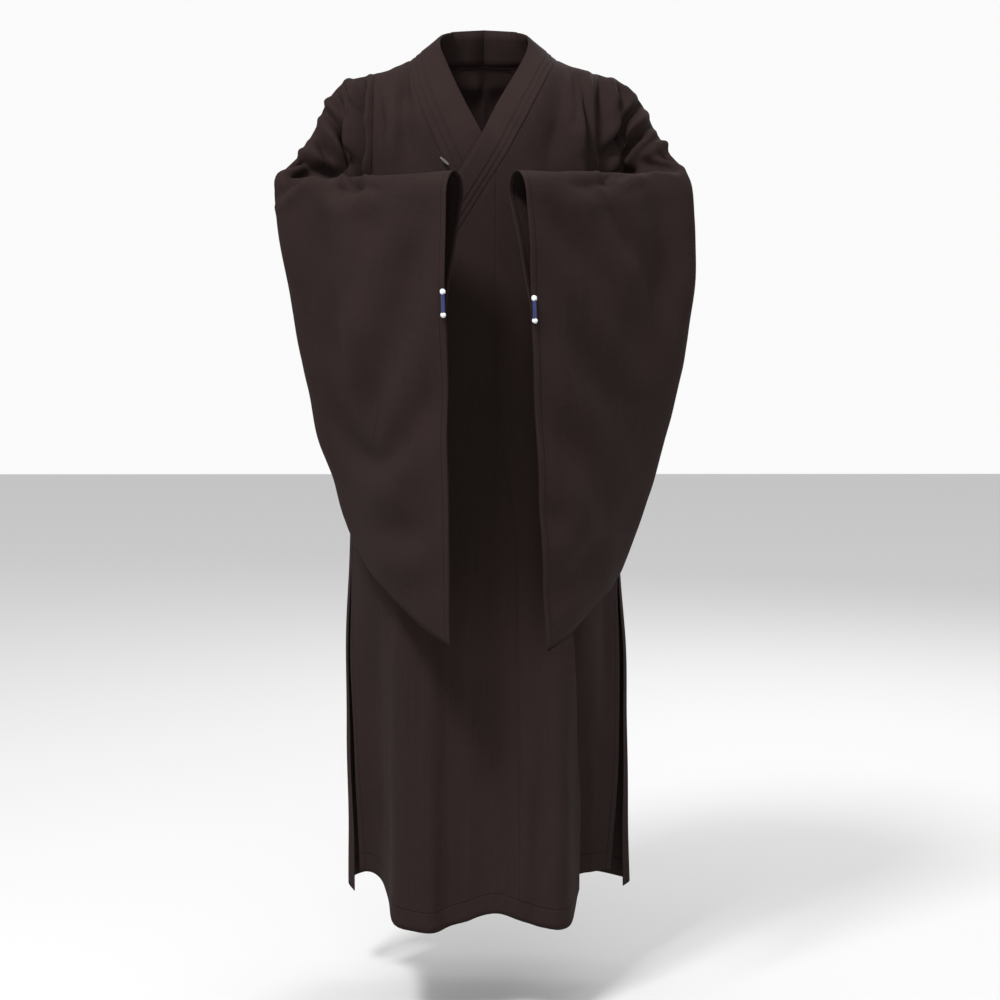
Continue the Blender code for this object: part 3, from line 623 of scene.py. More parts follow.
class RobeStage(bpy.types.PropertyGroup):
    """Floor, light and camera around the robe."""

    floor_level: bpy.props.FloatProperty(
        name="Floor level",
        description="Height of the floor",
        default=-1.44,
        unit="LENGTH",
    )
    distance: bpy.props.FloatProperty(
        name="Camera distance",
        description="Distance from the camera to the shoulder line",
        default=3.781,
        min=1.0,
        max=12.0,
        unit="LENGTH",
    )
    eye_level: bpy.props.FloatProperty(
        name="Eye level",
        description="Height of the camera",
        default=-0.301,
        unit="LENGTH",
    )
    lens: bpy.props.FloatProperty(
        name="Lens",
        description="Focal length on a 36 mm film",
        default=88.44,
        min=20.0,
        max=300.0,
        subtype="DISTANCE_CAMERA",
    )
    tilt: bpy.props.FloatProperty(
        name="Camera tilt",
        description="How far the camera looks down",
        default=math.radians(4.764),
        subtype="ANGLE",
    )
    turn: bpy.props.FloatProperty(
        name="Camera turn",
        description="How far the camera is turned to the robe's left",
        default=math.radians(0.275),
        subtype="ANGLE",
    )
    key: bpy.props.FloatProperty(
        name="Key light",
        description="Strength of the soft main light",
        default=200.0,
        min=0.0,
        subtype="POWER",
    )


# Names and reading the tables


def side_word(side):
    return "left" if side > 0 else "right"


@lru_cache(maxsize=None)
def prepared(rows):
    """Keys, values and slopes of a table, sorted by its first column."""
    data = np.array(sorted(rows), dtype=float)
    keys = data[:, 0]
    values = data[:, 1:]
    return keys, values, np.gradient(values, keys, axis=0)


def read(rows, key):
    """Row of a table at a key in its first column, joined smoothly between the given rows."""
    return smooth_row(*prepared(rows), key)


def smooth_row(keys, values, slopes, key):
    key = min(max(key, keys[0]), keys[-1])
    index = min(int(np.searchsorted(keys, key, side="right")) - 1, len(keys) - 2)
    step = keys[index + 1] - keys[index]
    t = (key - keys[index]) / step
    start = (1 + 2 * t) * (1 - t) ** 2 * values[index] + t * (1 - t) ** 2 * step * slopes[index]
    end = t * t * (3 - 2 * t) * values[index + 1] + t * t * (t - 1) * step * slopes[index + 1]
    return start + end


def ease(t):
    t = np.clip(t, 0.0, 1.0)
    return t * t * (3 - 2 * t)


# The body's form


def ridge_z(x):
    return float(read(RIDGE_ROWS, abs(x))[0])


@lru_cache(maxsize=6000)
def section_knots(side, front, z):
    """The plan section's own table at one height, from just past the middle to the side edge."""
    edges = read(EDGE_ROWS_LEFT if side > 0 else EDGE_ROWS_RIGHT, z)
    middle_y, chest_x, chest_y, wing_x, wing_y = read(FRONT_ROWS if front else BACK_ROWS, z)
    edge_x, edge_y = (edges[0], edges[1]) if front else (edges[2], edges[3])
    knots = [
        (-WING_SHARE, -wing_x, wing_y),
        (-CHEST_SHARE, -chest_x, chest_y),
        (0.0, 0.0, middle_y),
        (CHEST_SHARE, chest_x, chest_y),
        (WING_SHARE, wing_x, wing_y),
        (1.0, edge_x, edge_y),
    ]
    if not front:
        bulge = read(BULGE_ROWS, z)[0]
        knots.insert(5, (BULGE_SHARE, edge_x + bulge, 0.5 * (edge_y + wing_y)))
    data = np.array(knots)
    return data[:, 0], data[:, 1:], np.gradient(data[:, 1:], data[:, 0], axis=0)


def section(side, front, fraction, z):
    """Point of the plan section; side is +1 on the wearer's left, fraction runs from middle to side."""
    return smooth_row(*section_knots(side, front, z), fraction)


def fraction_at(side, front, x, z):
    """Fraction across the section where it reaches x, found by halving."""
    low, high = -0.5, 1.0
    for _ in range(HALVINGS):
        middle = 0.5 * (low + high)
        if section(side, front, middle, z)[0] < x:
            low = middle
        else:
            high = middle
    return 0.5 * (low + high)


def body_point(side, front, fraction, turn, z, lift=0.0):
    """Point on the body's cloth. Turn is the angle over the shoulder, 90 degrees below it."""
    x, y = section(side, front, fraction, z)
    before = section(side, front, fraction - SECTION_STEP, z)
    after = section(side, front, min(fraction + SECTION_STEP, 1.0), z)
    along_x, along_y = after - before
    outward = lift * (1 if front else -1) / math.hypot(along_x, along_y)
    x, y = side * (x + along_y * outward), y - along_x * outward
    return x, RIDGE_Y + (y - RIDGE_Y) * math.sin(turn), z


def row_height(turn, level, x):
    """Height of a panel's row at x: round the shoulder by its turn, then down to level rows."""
    if level is None:
        return ridge_z(x) - SHOULDER_DEPTH * (1 - math.cos(turn))
    return level


def front_inner_x(side, z):
    """Inner edge of a front panel, outward from the middle: the collar seam, then its straight edge."""
    straight = float(read(FRONT_SEAM_ROWS, z)[0]) if side > 0 else UNDER_EDGE_X
    return max(float(read(COLLAR_SEAM_OVER if side > 0 else COLLAR_SEAM_UNDER, z)[0]), straight)


def back_inner_x(turn):
    """Inner edge of a back: the neck seam round to the nape, then the centre-back seam."""
    if turn >= NAPE_TURN:
        return SEAM_GAP / 2
    return max(NECK_SEAM_X * math.sqrt(1 - (turn / NAPE_TURN) ** 2), SEAM_GAP / 2)


@lru_cache(maxsize=None)
def row_ends(side, front, turn, level):
    """Where a panel's row starts and ends: heights and fractions across the section."""
    inner = SHOULDER_MIDDLE_X
    for _ in range(5):
        height = row_height(turn, level, inner)
        inner = front_inner_x(side, height) if front else back_inner_x(turn if level is None else math.pi)
    outer_height = row_height(turn, level, ARMHOLE_TOP_X)
    outer = float(read(ARMHOLE_ROWS, outer_height)[0])
    first = fraction_at(side, front, inner + SEAM_GAP / 2, height)
    last = fraction_at(side, front, outer, outer_height) if outer_height > UNDERARM + 0.002 else 1.0
    return height, outer_height, first, last


def hem_lowering(front, side, fraction, level):
    """How far a skirt row moves down or up at a place, so that the last row lies on the hem."""
    share = (HEM_BEND - level) / (HEM_BEND - HEM_LEVEL)
    if share <= 0.0:
        return 0.0
    hem = float(read(HEM_ROWS, abs(fraction))[0 if front else 1]) - HEM_LEVEL
    if front:
        hem += float(read(HEM_WAVES, side * float(section(side, True, fraction, HEM_LEVEL)[0]))[0])
    return hem * share * share


def panel_point(side, front, across, turn, level):
    """Point of a body half; across runs from its inner edge to the armhole or side edge."""
    height, outer_height, first, last = row_ends(side, front, turn, level)
    z = height + (outer_height - height) * across
    fraction = first + (last - first) * across
    if level is not None:
        z += hem_lowering(front, side, fraction, level)
    else:
        for _ in range(3):
            z = row_height(turn, level, section(side, front, fraction, z)[0])
    lift = 0.0
    if front and side > 0:
        lift = LAP_LIFT * float(ease((LAP_ENDS_X - section(side, front, fraction, z)[0]) / LAP_RAMP))
    return body_point(side, front, fraction, turn, z, lift)


def levels(top, bottom, step):
    """Evenly spaced heights below top, down to bottom."""
    return list(np.linspace(top, bottom, max(int(round((top - bottom) / step)), 1) + 1)[1:])


@lru_cache(maxsize=None)
def panel_rows():
    """Rows of a panel as (turn, level): over the shoulder, down the chest and down the skirt."""
    turns = sorted(set(np.arange(0.0, 90.1, TURN_STEP)) | {math.degrees(NAPE_TURN)})
    rows = [(math.radians(turn), None) for turn in turns]
    heights = levels(CHEST_LINE - CHEST_ROWS_START, UNDERARM, ROW_STEP_HIGH)
    heights += levels(UNDERARM, HEM_LEVEL, ROW_STEP_LOW)
    rows += [(math.pi / 2, float(level)) for level in heights]
    return tuple(rows)


def columns():
    """Shares across a panel: even, with extra ones beside both edges for the seams."""
    even = set(np.linspace(0.0, 1.0, FINE_COLUMNS))
    beside = set(EDGE_COLUMNS) | {1.0 - share for share in EDGE_COLUMNS}
    return np.array(sorted(even | beside))


def spread_out(coarse, shares):
    """Rows of a coarse grid laid out again, smoothly, at the wanted shares across."""
    keys = np.linspace(0.0, 1.0, coarse.shape[1])
    slopes = np.gradient(coarse, keys, axis=1)
    index = np.minimum(np.searchsorted(keys, shares, side="right") - 1, len(keys) - 2)
    step = keys[1] - keys[0]
    t = ((shares - keys[index]) / step)[None, :, None]
    start = (1 + 2 * t) * (1 - t) ** 2 * coarse[:, index] + t * (1 - t) ** 2 * step * slopes[:, index]
    end = t * t * (3 - 2 * t) * coarse[:, index + 1] + t * t * (t - 1) * step * slopes[:, index + 1]
    return start + end


@lru_cache(maxsize=None)
def body_half(side):
    """Grid of one body half, from the back hem over the shoulder to the front hem."""
    rows = panel_rows()
    shares = np.linspace(0.0, 1.0, COARSE_COLUMNS)
    coarse = [[panel_point(side, False, share, *row) for share in shares] for row in reversed(rows)]
    coarse += [[panel_point(side, True, share, *row) for share in shares] for row in rows[1:]]
    return spread_out(np.array(coarse, dtype=float), columns())


@lru_cache(maxsize=None)
def overlap_half():
    """Grid of the outer gore, from the centre-front seam across to the wearer's right side."""
    rows = [(blend, GORE_LEVEL) for blend in np.linspace(0.0, 1.0, GORE_BLENDS)]
    rows += [(1.0, float(level)) for level in levels(GORE_LEVEL, HEM_LEVEL, ROW_STEP_LOW)]
    shares = np.linspace(0.0, 1.0, COARSE_COLUMNS)
    coarse = [[overlap_point(share, *row) for share in shares] for row in rows]
    return spread_out(np.array(coarse, dtype=float), columns())


def overlap_point(share, blend, level):
    """Point of the outer gore; blend runs from its collar seam down to its first level row."""
    z = level
    for _ in range(6 if blend < 1.0 else 1):
        first = -fraction_at(-1, True, float(read(FRONT_SEAM_ROWS, z)[0]) - SEAM_GAP, z)
        last = float(read(LAP_EDGE_ROWS, z)[0])
        fraction = first + (last - first) * share
        if blend < 1.0:
            top = overlap_top(-section(-1, True, fraction, z)[0])
            z = top + (level - top) * blend
    return body_point(-1, True, fraction, math.pi / 2, z + hem_lowering(True, -1, fraction, z), LAP_LIFT)


def overlap_top(x):
    """Height of the collar seam above a place on the outer gore."""
    low, high = LAP_SEAM_LOW, LAP_SEAM_HIGH
    for _ in range(SEAM_HALVINGS):
        middle = 0.5 * (low + high)
        if float(read(COLLAR_SEAM_OVER, middle)[0]) < x:
            low = middle
        else:
            high = middle
    return 0.5 * (low + high)


# The collar's form


def seam_points(side):
    """Collar seam as (reach, point), from the nape round the neck and down the front."""
    points = []
    for row in reversed(panel_rows()):
        if row[1] is None and row[0] <= NAPE_TURN + 1e-9:
            points.append((-math.degrees(row[0]), Vector(panel_point(side, False, 0.0, *row))))
    last_level = overlap_half()[0][0][2] + 0.002 if side > 0 else UNDER_SEAM_END
    for row in panel_rows()[1:]:
        if row[1] is not None and row[1] < last_level:
            break
        point = Vector(panel_point(side, True, 0.0, *row))
        reach = math.degrees(row[0]) if row[1] is None else 90 - 1000 * (row[1] - CHEST_LINE)
        points.append((reach, point))
    if side > 0:
        for place in overlap_half()[0][1::2]:
            points.append((90 - 1000 * (place[2] - CHEST_LINE), Vector(place)))
    return points


def band_rings(side):
    """Closed cross-sections of one half of the collar band, from the nape to its lower end."""
    rows = COLLAR_STAND_ROWS + (COLLAR_OVER_ROWS if side > 0 else COLLAR_UNDER_ROWS)
    edges = []
    for reach, outer in seam_points(side):
        x, y, z = read(rows, reach)
        edges.append((Vector((side * x, y, z)), outer))
    rings = []
    for index, (inner, outer) in enumerate(edges):
        ahead = edges[min(index + 1, len(edges) - 1)]
        behind = edges[max(index - 1, 0)]
        along = (ahead[0] + ahead[1]) - (behind[0] + behind[1])
        across = (outer - inner).normalized()
        normal = along.cross(across).normalized() * side
        rim = outer + across * COLLAR_COVER
        ring = [inner.lerp(rim, share) + normal * height for share, height in BAND_PROFILE]
        ring += [inner.lerp(rim, share) + normal * BAND_UNDERSIDE for share in (1.0, 0.75, 0.5, 0.25, 0.0)]
        rings.append([tuple(point) for point in ring])
    return np.array(rings)


# The sleeves' form


def angles_down(points, top):
    """Angle round the armhole of each point, 0 at its top and 180 degrees at the underarm."""
    return np.arccos(1 - 2 * np.clip((top - points[:, 2]) / (top - UNDERARM), 0.0, 1.0))


def armhole_ring(side):
    """Armhole edge of the body as angles and points, from the shoulder down the front and up the back."""
    grid = body_half(side)
    middle = len(panel_rows()) - 1
    count = sum(1 for row in panel_rows() if row[1] is None or row[1] >= UNDERARM - 1e-9)
    front = grid[middle : middle + count, -1]
    back = grid[middle - count + 2 : middle, -1]
    top = front[0][2]
    angles = np.concatenate([angles_down(front, top), 2 * math.pi - angles_down(back, top)])
    return angles, np.concatenate([front, back])


def stations():
    return np.linspace(0.0, LAST_STATION, SLEEVE_STATIONS)


def bag_ring(side, station, angles):
    """The sleeve's own form at a station; angle 0 is its top line and the face by the body comes first."""
    values = read(SLEEVE_ROWS_LEFT if side > 0 else SLEEVE_ROWS_RIGHT, station)
    top, low = values[0:3], values[3:6]
    facing, arm, bag, bow = values[6:10]
    down = 0.5 * (1 - np.cos(angles))
    outward = np.array((math.sin(math.radians(facing)), math.cos(math.radians(facing)), 0.0))
    reach = ARM_SHARE + (CUFF_OPEN_SHARE - ARM_SHARE) * ease((station - CUFF_FORM_START) / CUFF_FORM_RAMP)
    crown = arm / np.linalg.norm(low - top)
    rise = np.sqrt(1 - (1 - np.minimum(down / crown, 1.0)) ** 2)
    fill = np.clip((reach - down) / (reach - crown), 0.0, 1.0)
    half = bag * np.abs(np.sin(angles)) + (arm - bag) * rise * fill
    hang = ease((station - HANG_START) / HANG_RAMP) * arm * rise * (1 - fill) * (1 - down)
    face = np.where(angles < math.pi, -1.0, 1.0)
    across = bow * np.sin(math.pi * down) + hang + face * half
    points = top + (low - top) * down[:, None] + outward * across[:, None]
    return points * np.array((side, 1.0, 1.0))


@lru_cache(maxsize=None)
def sleeve_tube(side):
    """Grid of a sleeve from armhole to cuff, one row a station, closed round each row."""
    angles, edge = armhole_ring(side)
    offset = edge - bag_ring(side, 0.0, angles)
    rings = []
    for station in stations():
        rings.append(bag_ring(side, station, angles) + offset * (1 - ease(station / ARMHOLE_BLEND)))
    return np.array(rings)


# Folds, creases and seams


def grid_normals(grid, closed):
    """Unit normals of a grid's points."""
    along = np.gradient(grid, axis=0)
    if closed:
        across = np.roll(grid, -1, axis=1) - np.roll(grid, 1, axis=1)
    else:
        across = np.gradient(grid, axis=1)
    normals = np.cross(along, across)
    return normals / np.maximum(np.linalg.norm(normals, axis=2, keepdims=True), 1e-12)


def outward_normals(grid, closed):
    """Normals turned away from the inside of the body or sleeve."""
    normals = grid_normals(grid, closed)
    if closed:
        away = grid - grid.mean(axis=1, keepdims=True)
    else:
        away = grid * LEVEL_ONLY + UPWARD
    return normals * np.sign((normals * away).sum(axis=2, keepdims=True).mean())


def smooth_route(route):
    """More places along a crease, joined in a soft curve."""
    data = np.array(route, dtype=float)
    steps = np.concatenate([[0.0], np.cumsum(np.linalg.norm(np.diff(data, axis=0), axis=1))])
    slopes = np.gradient(data, steps, axis=0)
    places = np.linspace(0.0, steps[-1], 8 * len(data))
    return np.array([smooth_row(steps, data, slopes, place) for place in places])


def crease_push(creases, x, z, power):
    """How far inward the creases move places seen from the front: troughs with a soft ridge on both sides.

    A power of 2 gives a round trough, a lower one a sharper line.
    """
    push = np.zeros_like(x)
    for number, (width, depth, route) in enumerate(creases):
        line = smooth_route(route)
        near = np.full_like(x, 1e9)
        share = np.zeros_like(x)
        for index in range(len(line) - 1):
            start, span = line[index], line[index + 1] - line[index]
            t = np.clip(((x - start[0]) * span[0] + (z - start[1]) * span[1]) / (span @ span), 0.0, 1.0)
            gap = np.hypot(x - start[0] - t * span[0], z - start[1] - t * span[1])
            closer = gap < near
            near = np.where(closer, gap, near)
            share = np.where(closer, (index + t) / (len(line) - 1), share)
        inside = CREASE_END_SHARE + (1 - 2 * CREASE_END_SHARE) * share
        taper = np.sin(math.pi * np.clip(inside, 0.0, 1.0)) ** CREASE_END_POWER
        uneven = 1.0 + UNEVEN_DEPTH * np.sin(9.0 * share + 2.4 * number)
        trough = np.exp(-((near / width) ** power))
        ridge = RIDGE_HEIGHT * np.exp(-(((near - RIDGE_PLACE * width) / (RIDGE_WIDTH * width)) ** 2))
        push += depth * taper * uneven * (trough - ridge)
    return push


def fold_push(folds, x, z):
    """How far inward the long skirt folds move places seen from the front."""
    push = np.zeros_like(x)
    for top_x, top_z, low_x, low_z, width, depth in folds:
        along = (z - top_z) / (low_z - top_z)
        fold_x = top_x + (low_x - top_x) * np.clip(along, 0.0, 1.0)
        across = np.minimum(np.abs(x - fold_x) / width, 1.0)
        push += np.where(along > -0.1, depth * (1 - across * across) ** 2 * ease(along / FOLD_RAMP), 0.0)
    return push


def soft_waves(grid):
    """Slight unevenness of hanging cloth, a millimetre or so."""
    x, y, z = grid[..., 0], grid[..., 1], grid[..., 2]
    wave = np.sin(31.0 * x + 7.0 * z + 1.0) * np.sin(23.0 * z - 17.0 * y + 2.0)
    return CLOTH_WAVE * wave + CLOTH_RIPPLE * np.sin(67.0 * x + 29.0 * y - 13.0 * z)


def creased(grid, closed, front, back, folds, keep):
    """The grid with its creases and folds laid in; keep is 0 where an edge stays in its seam."""
    settings = bpy.context.scene.robe_cloth
    normals = outward_normals(grid, closed)
    x, z = grid[..., 0], grid[..., 2]
    push = ease(-normals[..., 1] / FACING_RAMP) * crease_push(front, x, z, CREASE_POWER)
    push += ease(normals[..., 1] / FACING_RAMP) * crease_push(back, x, z, CREASE_POWER)
    push += soft_waves(grid)
    push = push * settings.creases * keep
    if folds:
        push += ease(-normals[..., 1] / FOLD_FACING_RAMP) * fold_push(FRONT_FOLDS, x, z) * keep
        push += ease(normals[..., 1] / FOLD_FACING_RAMP) * fold_push(BACK_FOLDS, x, z) * keep
    return grid - normals * push[..., None], normals


def edge_distances(grid):
    """Lengths from the first and the last column along the rows, and from the top and the last row."""
    across = np.linalg.norm(np.diff(grid, axis=1), axis=2)
    from_first = np.concatenate([np.zeros((grid.shape[0], 1)), np.cumsum(across, axis=1)], axis=1)
    down = np.linalg.norm(np.diff(grid, axis=0), axis=2)
    from_top = np.concatenate([np.zeros((1, grid.shape[1])), np.cumsum(down, axis=0)], axis=0)
    return from_first, from_first[:, -1:] - from_first, from_top, from_top[-1:] - from_top


def seam_dip(distance):
    """How far a seam draws the cloth in beside it."""
    return SEAM_DIP * np.exp(-((distance / SEAM_DIP_WIDTH) ** 2))


# Meshes


def laid_mesh(name, grid, closed, flip, attributes, material):
    """Grid mesh moved to its points, with a UV map in metres and edge distances as attributes."""
    rows, count = grid.shape[:2]
    if closed:
        grid = np.concatenate([grid, grid[:, :1]], axis=1)
        count += 1
    first, _, top, _ = edge_distances(grid)
    across = first - first[:, -1:] * 0.5
    build = bmesh.new()
    bmesh.ops.create_grid(build, x_segments=count - 1, y_segments=rows - 1, size=1.0)
    build.verts.ensure_lookup_table()
    if len(build.verts) != rows * count:
        raise RuntimeError(f"{name}: the grid has {len(build.verts)} points, not {rows * count}")
    flat = grid.reshape(-1, 3)
    for vertex, place in zip(build.verts, flat):
        vertex.co = place
    uv = build.loops.layers.uv.new("metres")
    u, v = across.ravel(), top.ravel()
    for face in build.faces:
        for loop in face.loops:
            index = loop.vert.index
            loop[uv].uv = (u[index], v[index])
    for key, values in attributes.items():
        layer = build.verts.layers.float.new(key)
        if closed:
            values = np.concatenate([values, values[:, :1]], axis=1)
        for vertex, value in zip(build.verts, values.ravel()):
            vertex[layer] = float(value)
    bmesh.ops.remove_doubles(build, verts=build.verts, dist=JOIN_DISTANCE)
    if flip:
        bmesh.ops.reverse_faces(build, faces=build.faces)
    return finished(name, build, material)


def finished(name, build, material):
    """Object made from a built mesh, smooth, with its material."""
    mesh = bpy.data.meshes.new(name)
    build.to_mesh(mesh)
    build.free()
    mesh.materials.append(material)
    mesh.shade_smooth()
    piece = bpy.data.objects.new(name, mesh)
    bpy.context.scene.collection.objects.link(piece)
    return piece


def walled(piece):
    """Cloth given its thickness."""
    wall = piece.modifiers.new("wall", "SOLIDIFY")
    wall.thickness = bpy.context.scene.robe_cloth.wall
    wall.offset = 0.0
    wall.use_even_offset = False
    return piece


def tube_grid(points, radius, segments, flare=None):
    """Rings round a line of points; flare scales the radius of each ring."""
    line = [Vector(point) for point in points]
    rings = []
    guide = Vector((0.0, -1.0, 0.0))
    for index, centre in enumerate(line):
        ahead = line[min(index + 1, len(line) - 1)] - line[max(index - 1, 0)]
        first = guide.cross(ahead).normalized()
        second = ahead.cross(first).normalized()
        size = radius * (flare[index] if flare is not None else 1.0)
        angles = [2 * math.pi * k / segments for k in range(segments)]
        rings.append([tuple(centre + (first * math.cos(a) + second * math.sin(a)) * size) for a in angles])
    return np.array(rings)


def new_build():
    """Empty mesh to build in, with its map in metres."""
    build = bmesh.new()
    build.loops.layers.uv.new("metres")
    return build


def add_rings(build, rings):
    """Closed tube of quads over the rings, with its ends filled."""
    rows, count = rings.shape[:2]
    made = bmesh.ops.create_grid(build, x_segments=count, y_segments=rows - 1, size=1.0)["verts"]
    grid = np.concatenate([rings, rings[:, :1]], axis=1).reshape(-1, 3)
    for vertex, place in zip(made, grid):
        vertex.co = place
    uv = build.loops.layers.uv.verify()
    index = {vertex: number for number, vertex in enumerate(made)}
    step = np.linalg.norm(np.diff(rings, axis=0), axis=2).mean()
    width = np.linalg.norm(rings[0, 1] - rings[0, 0])
    faces = {face for vertex in made for face in vertex.link_faces}
    for face in faces:
        for loop in face.loops:
            row, column = divmod(index[loop.vert], count + 1)
            loop[uv].uv = (column * width, row * step)
    bmesh.ops.remove_doubles(build, verts=made, dist=RING_JOIN_DISTANCE)
    rim = [edge for edge in build.edges if edge.is_boundary]
    bmesh.ops.holes_fill(build, edges=rim, sides=0)
    bmesh.ops.recalc_face_normals(build, faces=build.faces)


# Materials


def node_group(name, inputs, outputs):
    """New shader node group with named sockets; returns it with its input and output nodes."""
    group = bpy.data.node_groups.new(name, "ShaderNodeTree")
    for label, kind, value in inputs:
        socket = group.interface.new_socket(label, in_out="INPUT", socket_type=kind)
        if value is not None:
            socket.default_value = value
    for label, kind in outputs:
        group.interface.new_socket(label, in_out="OUTPUT", socket_type=kind)
    return group, group.nodes.new("NodeGroupInput"), group.nodes.new("NodeGroupOutput")


def sums(tree, operation, *values):
    """Math node over sockets or plain numbers; returns its result."""
    node = tree.nodes.new("ShaderNodeMath")
    node.operation = operation
    for socket, value in zip(node.inputs, values):
        if isinstance(value, (int, float)):
            socket.default_value = value
        else:
            tree.links.new(value, socket)
    return node.outputs[0]


def mixed(tree, factor, first, second):
    """Colour mix of two sockets or colours."""
    node = tree.nodes.new("ShaderNodeMix")
    node.data_type = "RGBA"
    for socket, value in ((node.inputs[0], factor), (node.inputs[6], first), (node.inputs[7], second)):
        if isinstance(value, bpy.types.NodeSocket):
            tree.links.new(value, socket)
        else:
            socket.default_value = value
    return node.outputs[2]


def stepped(tree, value, low, high, bottom=0.0, top=1.0):
    """Smooth step of a value between two limits."""
    node = tree.nodes.new("ShaderNodeMapRange")
    node.interpolation_type = "SMOOTHSTEP"
    tree.links.new(value, node.inputs["Value"])
    node.inputs["From Min"].default_value, node.inputs["From Max"].default_value = low, high
    node.inputs["To Min"].default_value, node.inputs["To Max"].default_value = bottom, top
    return node.outputs["Result"]


def noise(tree, vector, scale, detail):
    """Noise over a vector; returns its value."""
    node = tree.nodes.new("ShaderNodeTexNoise")
    tree.links.new(vector, node.inputs["Vector"])
    node.inputs["Scale"].default_value = scale
    node.inputs["Detail"].default_value = detail
    return node.outputs["Fac"]


def shaded(colour, shares):
    """Colour with each of its parts scaled by a share."""
    return (*(part * share for part, share in zip(colour, shares)), 1.0)


def metre_map(tree):
    """The mesh's map in metres."""
    uv = tree.nodes.new("ShaderNodeUVMap")
    uv.uv_map = "metres"
    return uv.outputs[0]


def weave_group():
    """Plain weave on a map in metres: height of the threads, and a tone that changes between threads."""
    group, source, result = node_group(
        "Plain weave",
        [("Map", "NodeSocketVector", None), ("Threads", "NodeSocketFloat", 1500.0)],
        [("Height", "NodeSocketFloat"), ("Tone", "NodeSocketFloat")],
    )
    parts = group.nodes.new("ShaderNodeSeparateXYZ")
    group.links.new(source.outputs["Map"], parts.inputs[0])
    threads = source.outputs["Threads"]
    across = sums(group, "MULTIPLY", parts.outputs[0], threads)
    down = sums(group, "MULTIPLY", parts.outputs[1], threads)
    warp = sums(group, "ABSOLUTE", sums(group, "SINE", sums(group, "MULTIPLY", across, math.pi)))
    weft = sums(group, "ABSOLUTE", sums(group, "SINE", sums(group, "MULTIPLY", down, math.pi)))
    count = sums(group, "ADD", sums(group, "FLOOR", across), sums(group, "FLOOR", down))
    parity = sums(group, "FLOORED_MODULO", count, 2.0)
    over = sums(group, "MULTIPLY", warp, parity)
    under = sums(group, "MULTIPLY", weft, sums(group, "SUBTRACT", 1.0, parity))
    group.links.new(sums(group, "ADD", over, under), result.inputs["Height"])
    streaks = []
    for stretch in STREAK_STRETCHES:
        sized = group.nodes.new("ShaderNodeVectorMath")
        sized.operation = "MULTIPLY"
        group.links.new(source.outputs["Map"], sized.inputs[0])
        sized.inputs[1].default_value = stretch
        streaks.append(noise(group, sized.outputs[0], 1.0, 2.0))
    group.links.new(sums(group, "MULTIPLY", sums(group, "ADD", *streaks), 0.5), result.inputs["Tone"])
    return group


def stitch_group():
    """One row of stitches: a mask along the line where Distance is zero, and the step of the turned layer."""
    group, source, result = node_group(
        "Stitched turn",
        [
            ("Distance", "NodeSocketFloat", 1.0),
            ("Along", "NodeSocketFloat", 0.0),
            ("Stitch", "NodeSocketFloat", STITCH_LENGTH),
        ],
        [("Thread", "NodeSocketFloat"), ("Turn", "NodeSocketFloat")],
    )
    distance = source.outputs["Distance"]
    line = stepped(group, sums(group, "ABSOLUTE", distance), *STITCH_LINE, 1.0, 0.0)
    place = sums(group, "FRACT", sums(group, "DIVIDE", source.outputs["Along"], source.outputs["Stitch"]))
    from_middle = sums(group, "ABSOLUTE", sums(group, "SUBTRACT", place, 0.5))
    dash = stepped(group, from_middle, *STITCH_END, 1.0, 0.0)
    group.links.new(sums(group, "MULTIPLY", line, dash), result.inputs["Thread"])
    group.links.new(stepped(group, distance, *TURN_EDGE, 1.0, 0.0), result.inputs["Turn"])
    return group


def shared_group(name, maker):
    """The node group of that name, made once."""
    return bpy.data.node_groups.get(name) or maker()


def use_group(tree, group, **links):
    node = tree.nodes.new("ShaderNodeGroup")
    node.node_tree = group
    for label, value in links.items():
        if isinstance(value, bpy.types.NodeSocket):
            tree.links.new(value, node.inputs[label])
        else:
            node.inputs[label].default_value = value
    return node


def new_material(name, roughness, specular, sheen=0.0, sheen_roughness=0.5, sheen_tint=(1.0, 1.0, 1.0, 1.0)):
    """Material with a plain surface shader; its constant values sit on the shader's own sockets."""
    material = bpy.data.materials.new(name)
    material.use_nodes = True
    shader = material.node_tree.nodes["Principled BSDF"]
    shader.inputs["Roughness"].default_value = roughness
    shader.inputs["Specular IOR Level"].default_value = specular
    shader.inputs["Sheen Weight"].default_value = sheen
    shader.inputs["Sheen Roughness"].default_value = sheen_roughness
    shader.inputs["Sheen Tint"].default_value = sheen_tint
    return material, material.node_tree, shader


def attribute(tree, name):
    node = tree.nodes.new("ShaderNodeAttribute")
    node.attribute_name = name
    return node.outputs["Fac"]


def bumped(tree, shader, height, distance):
    """Bump on the shader's normal from a height of 0 to 1 and its size in metres."""
    bump = tree.nodes.new("ShaderNodeBump")
    bump.inputs["Strength"].default_value = 1.0
    bump.inputs["Distance"].default_value = distance
    tree.links.new(height, bump.inputs["Height"])
    tree.links.new(bump.outputs["Normal"], shader.inputs["Normal"])


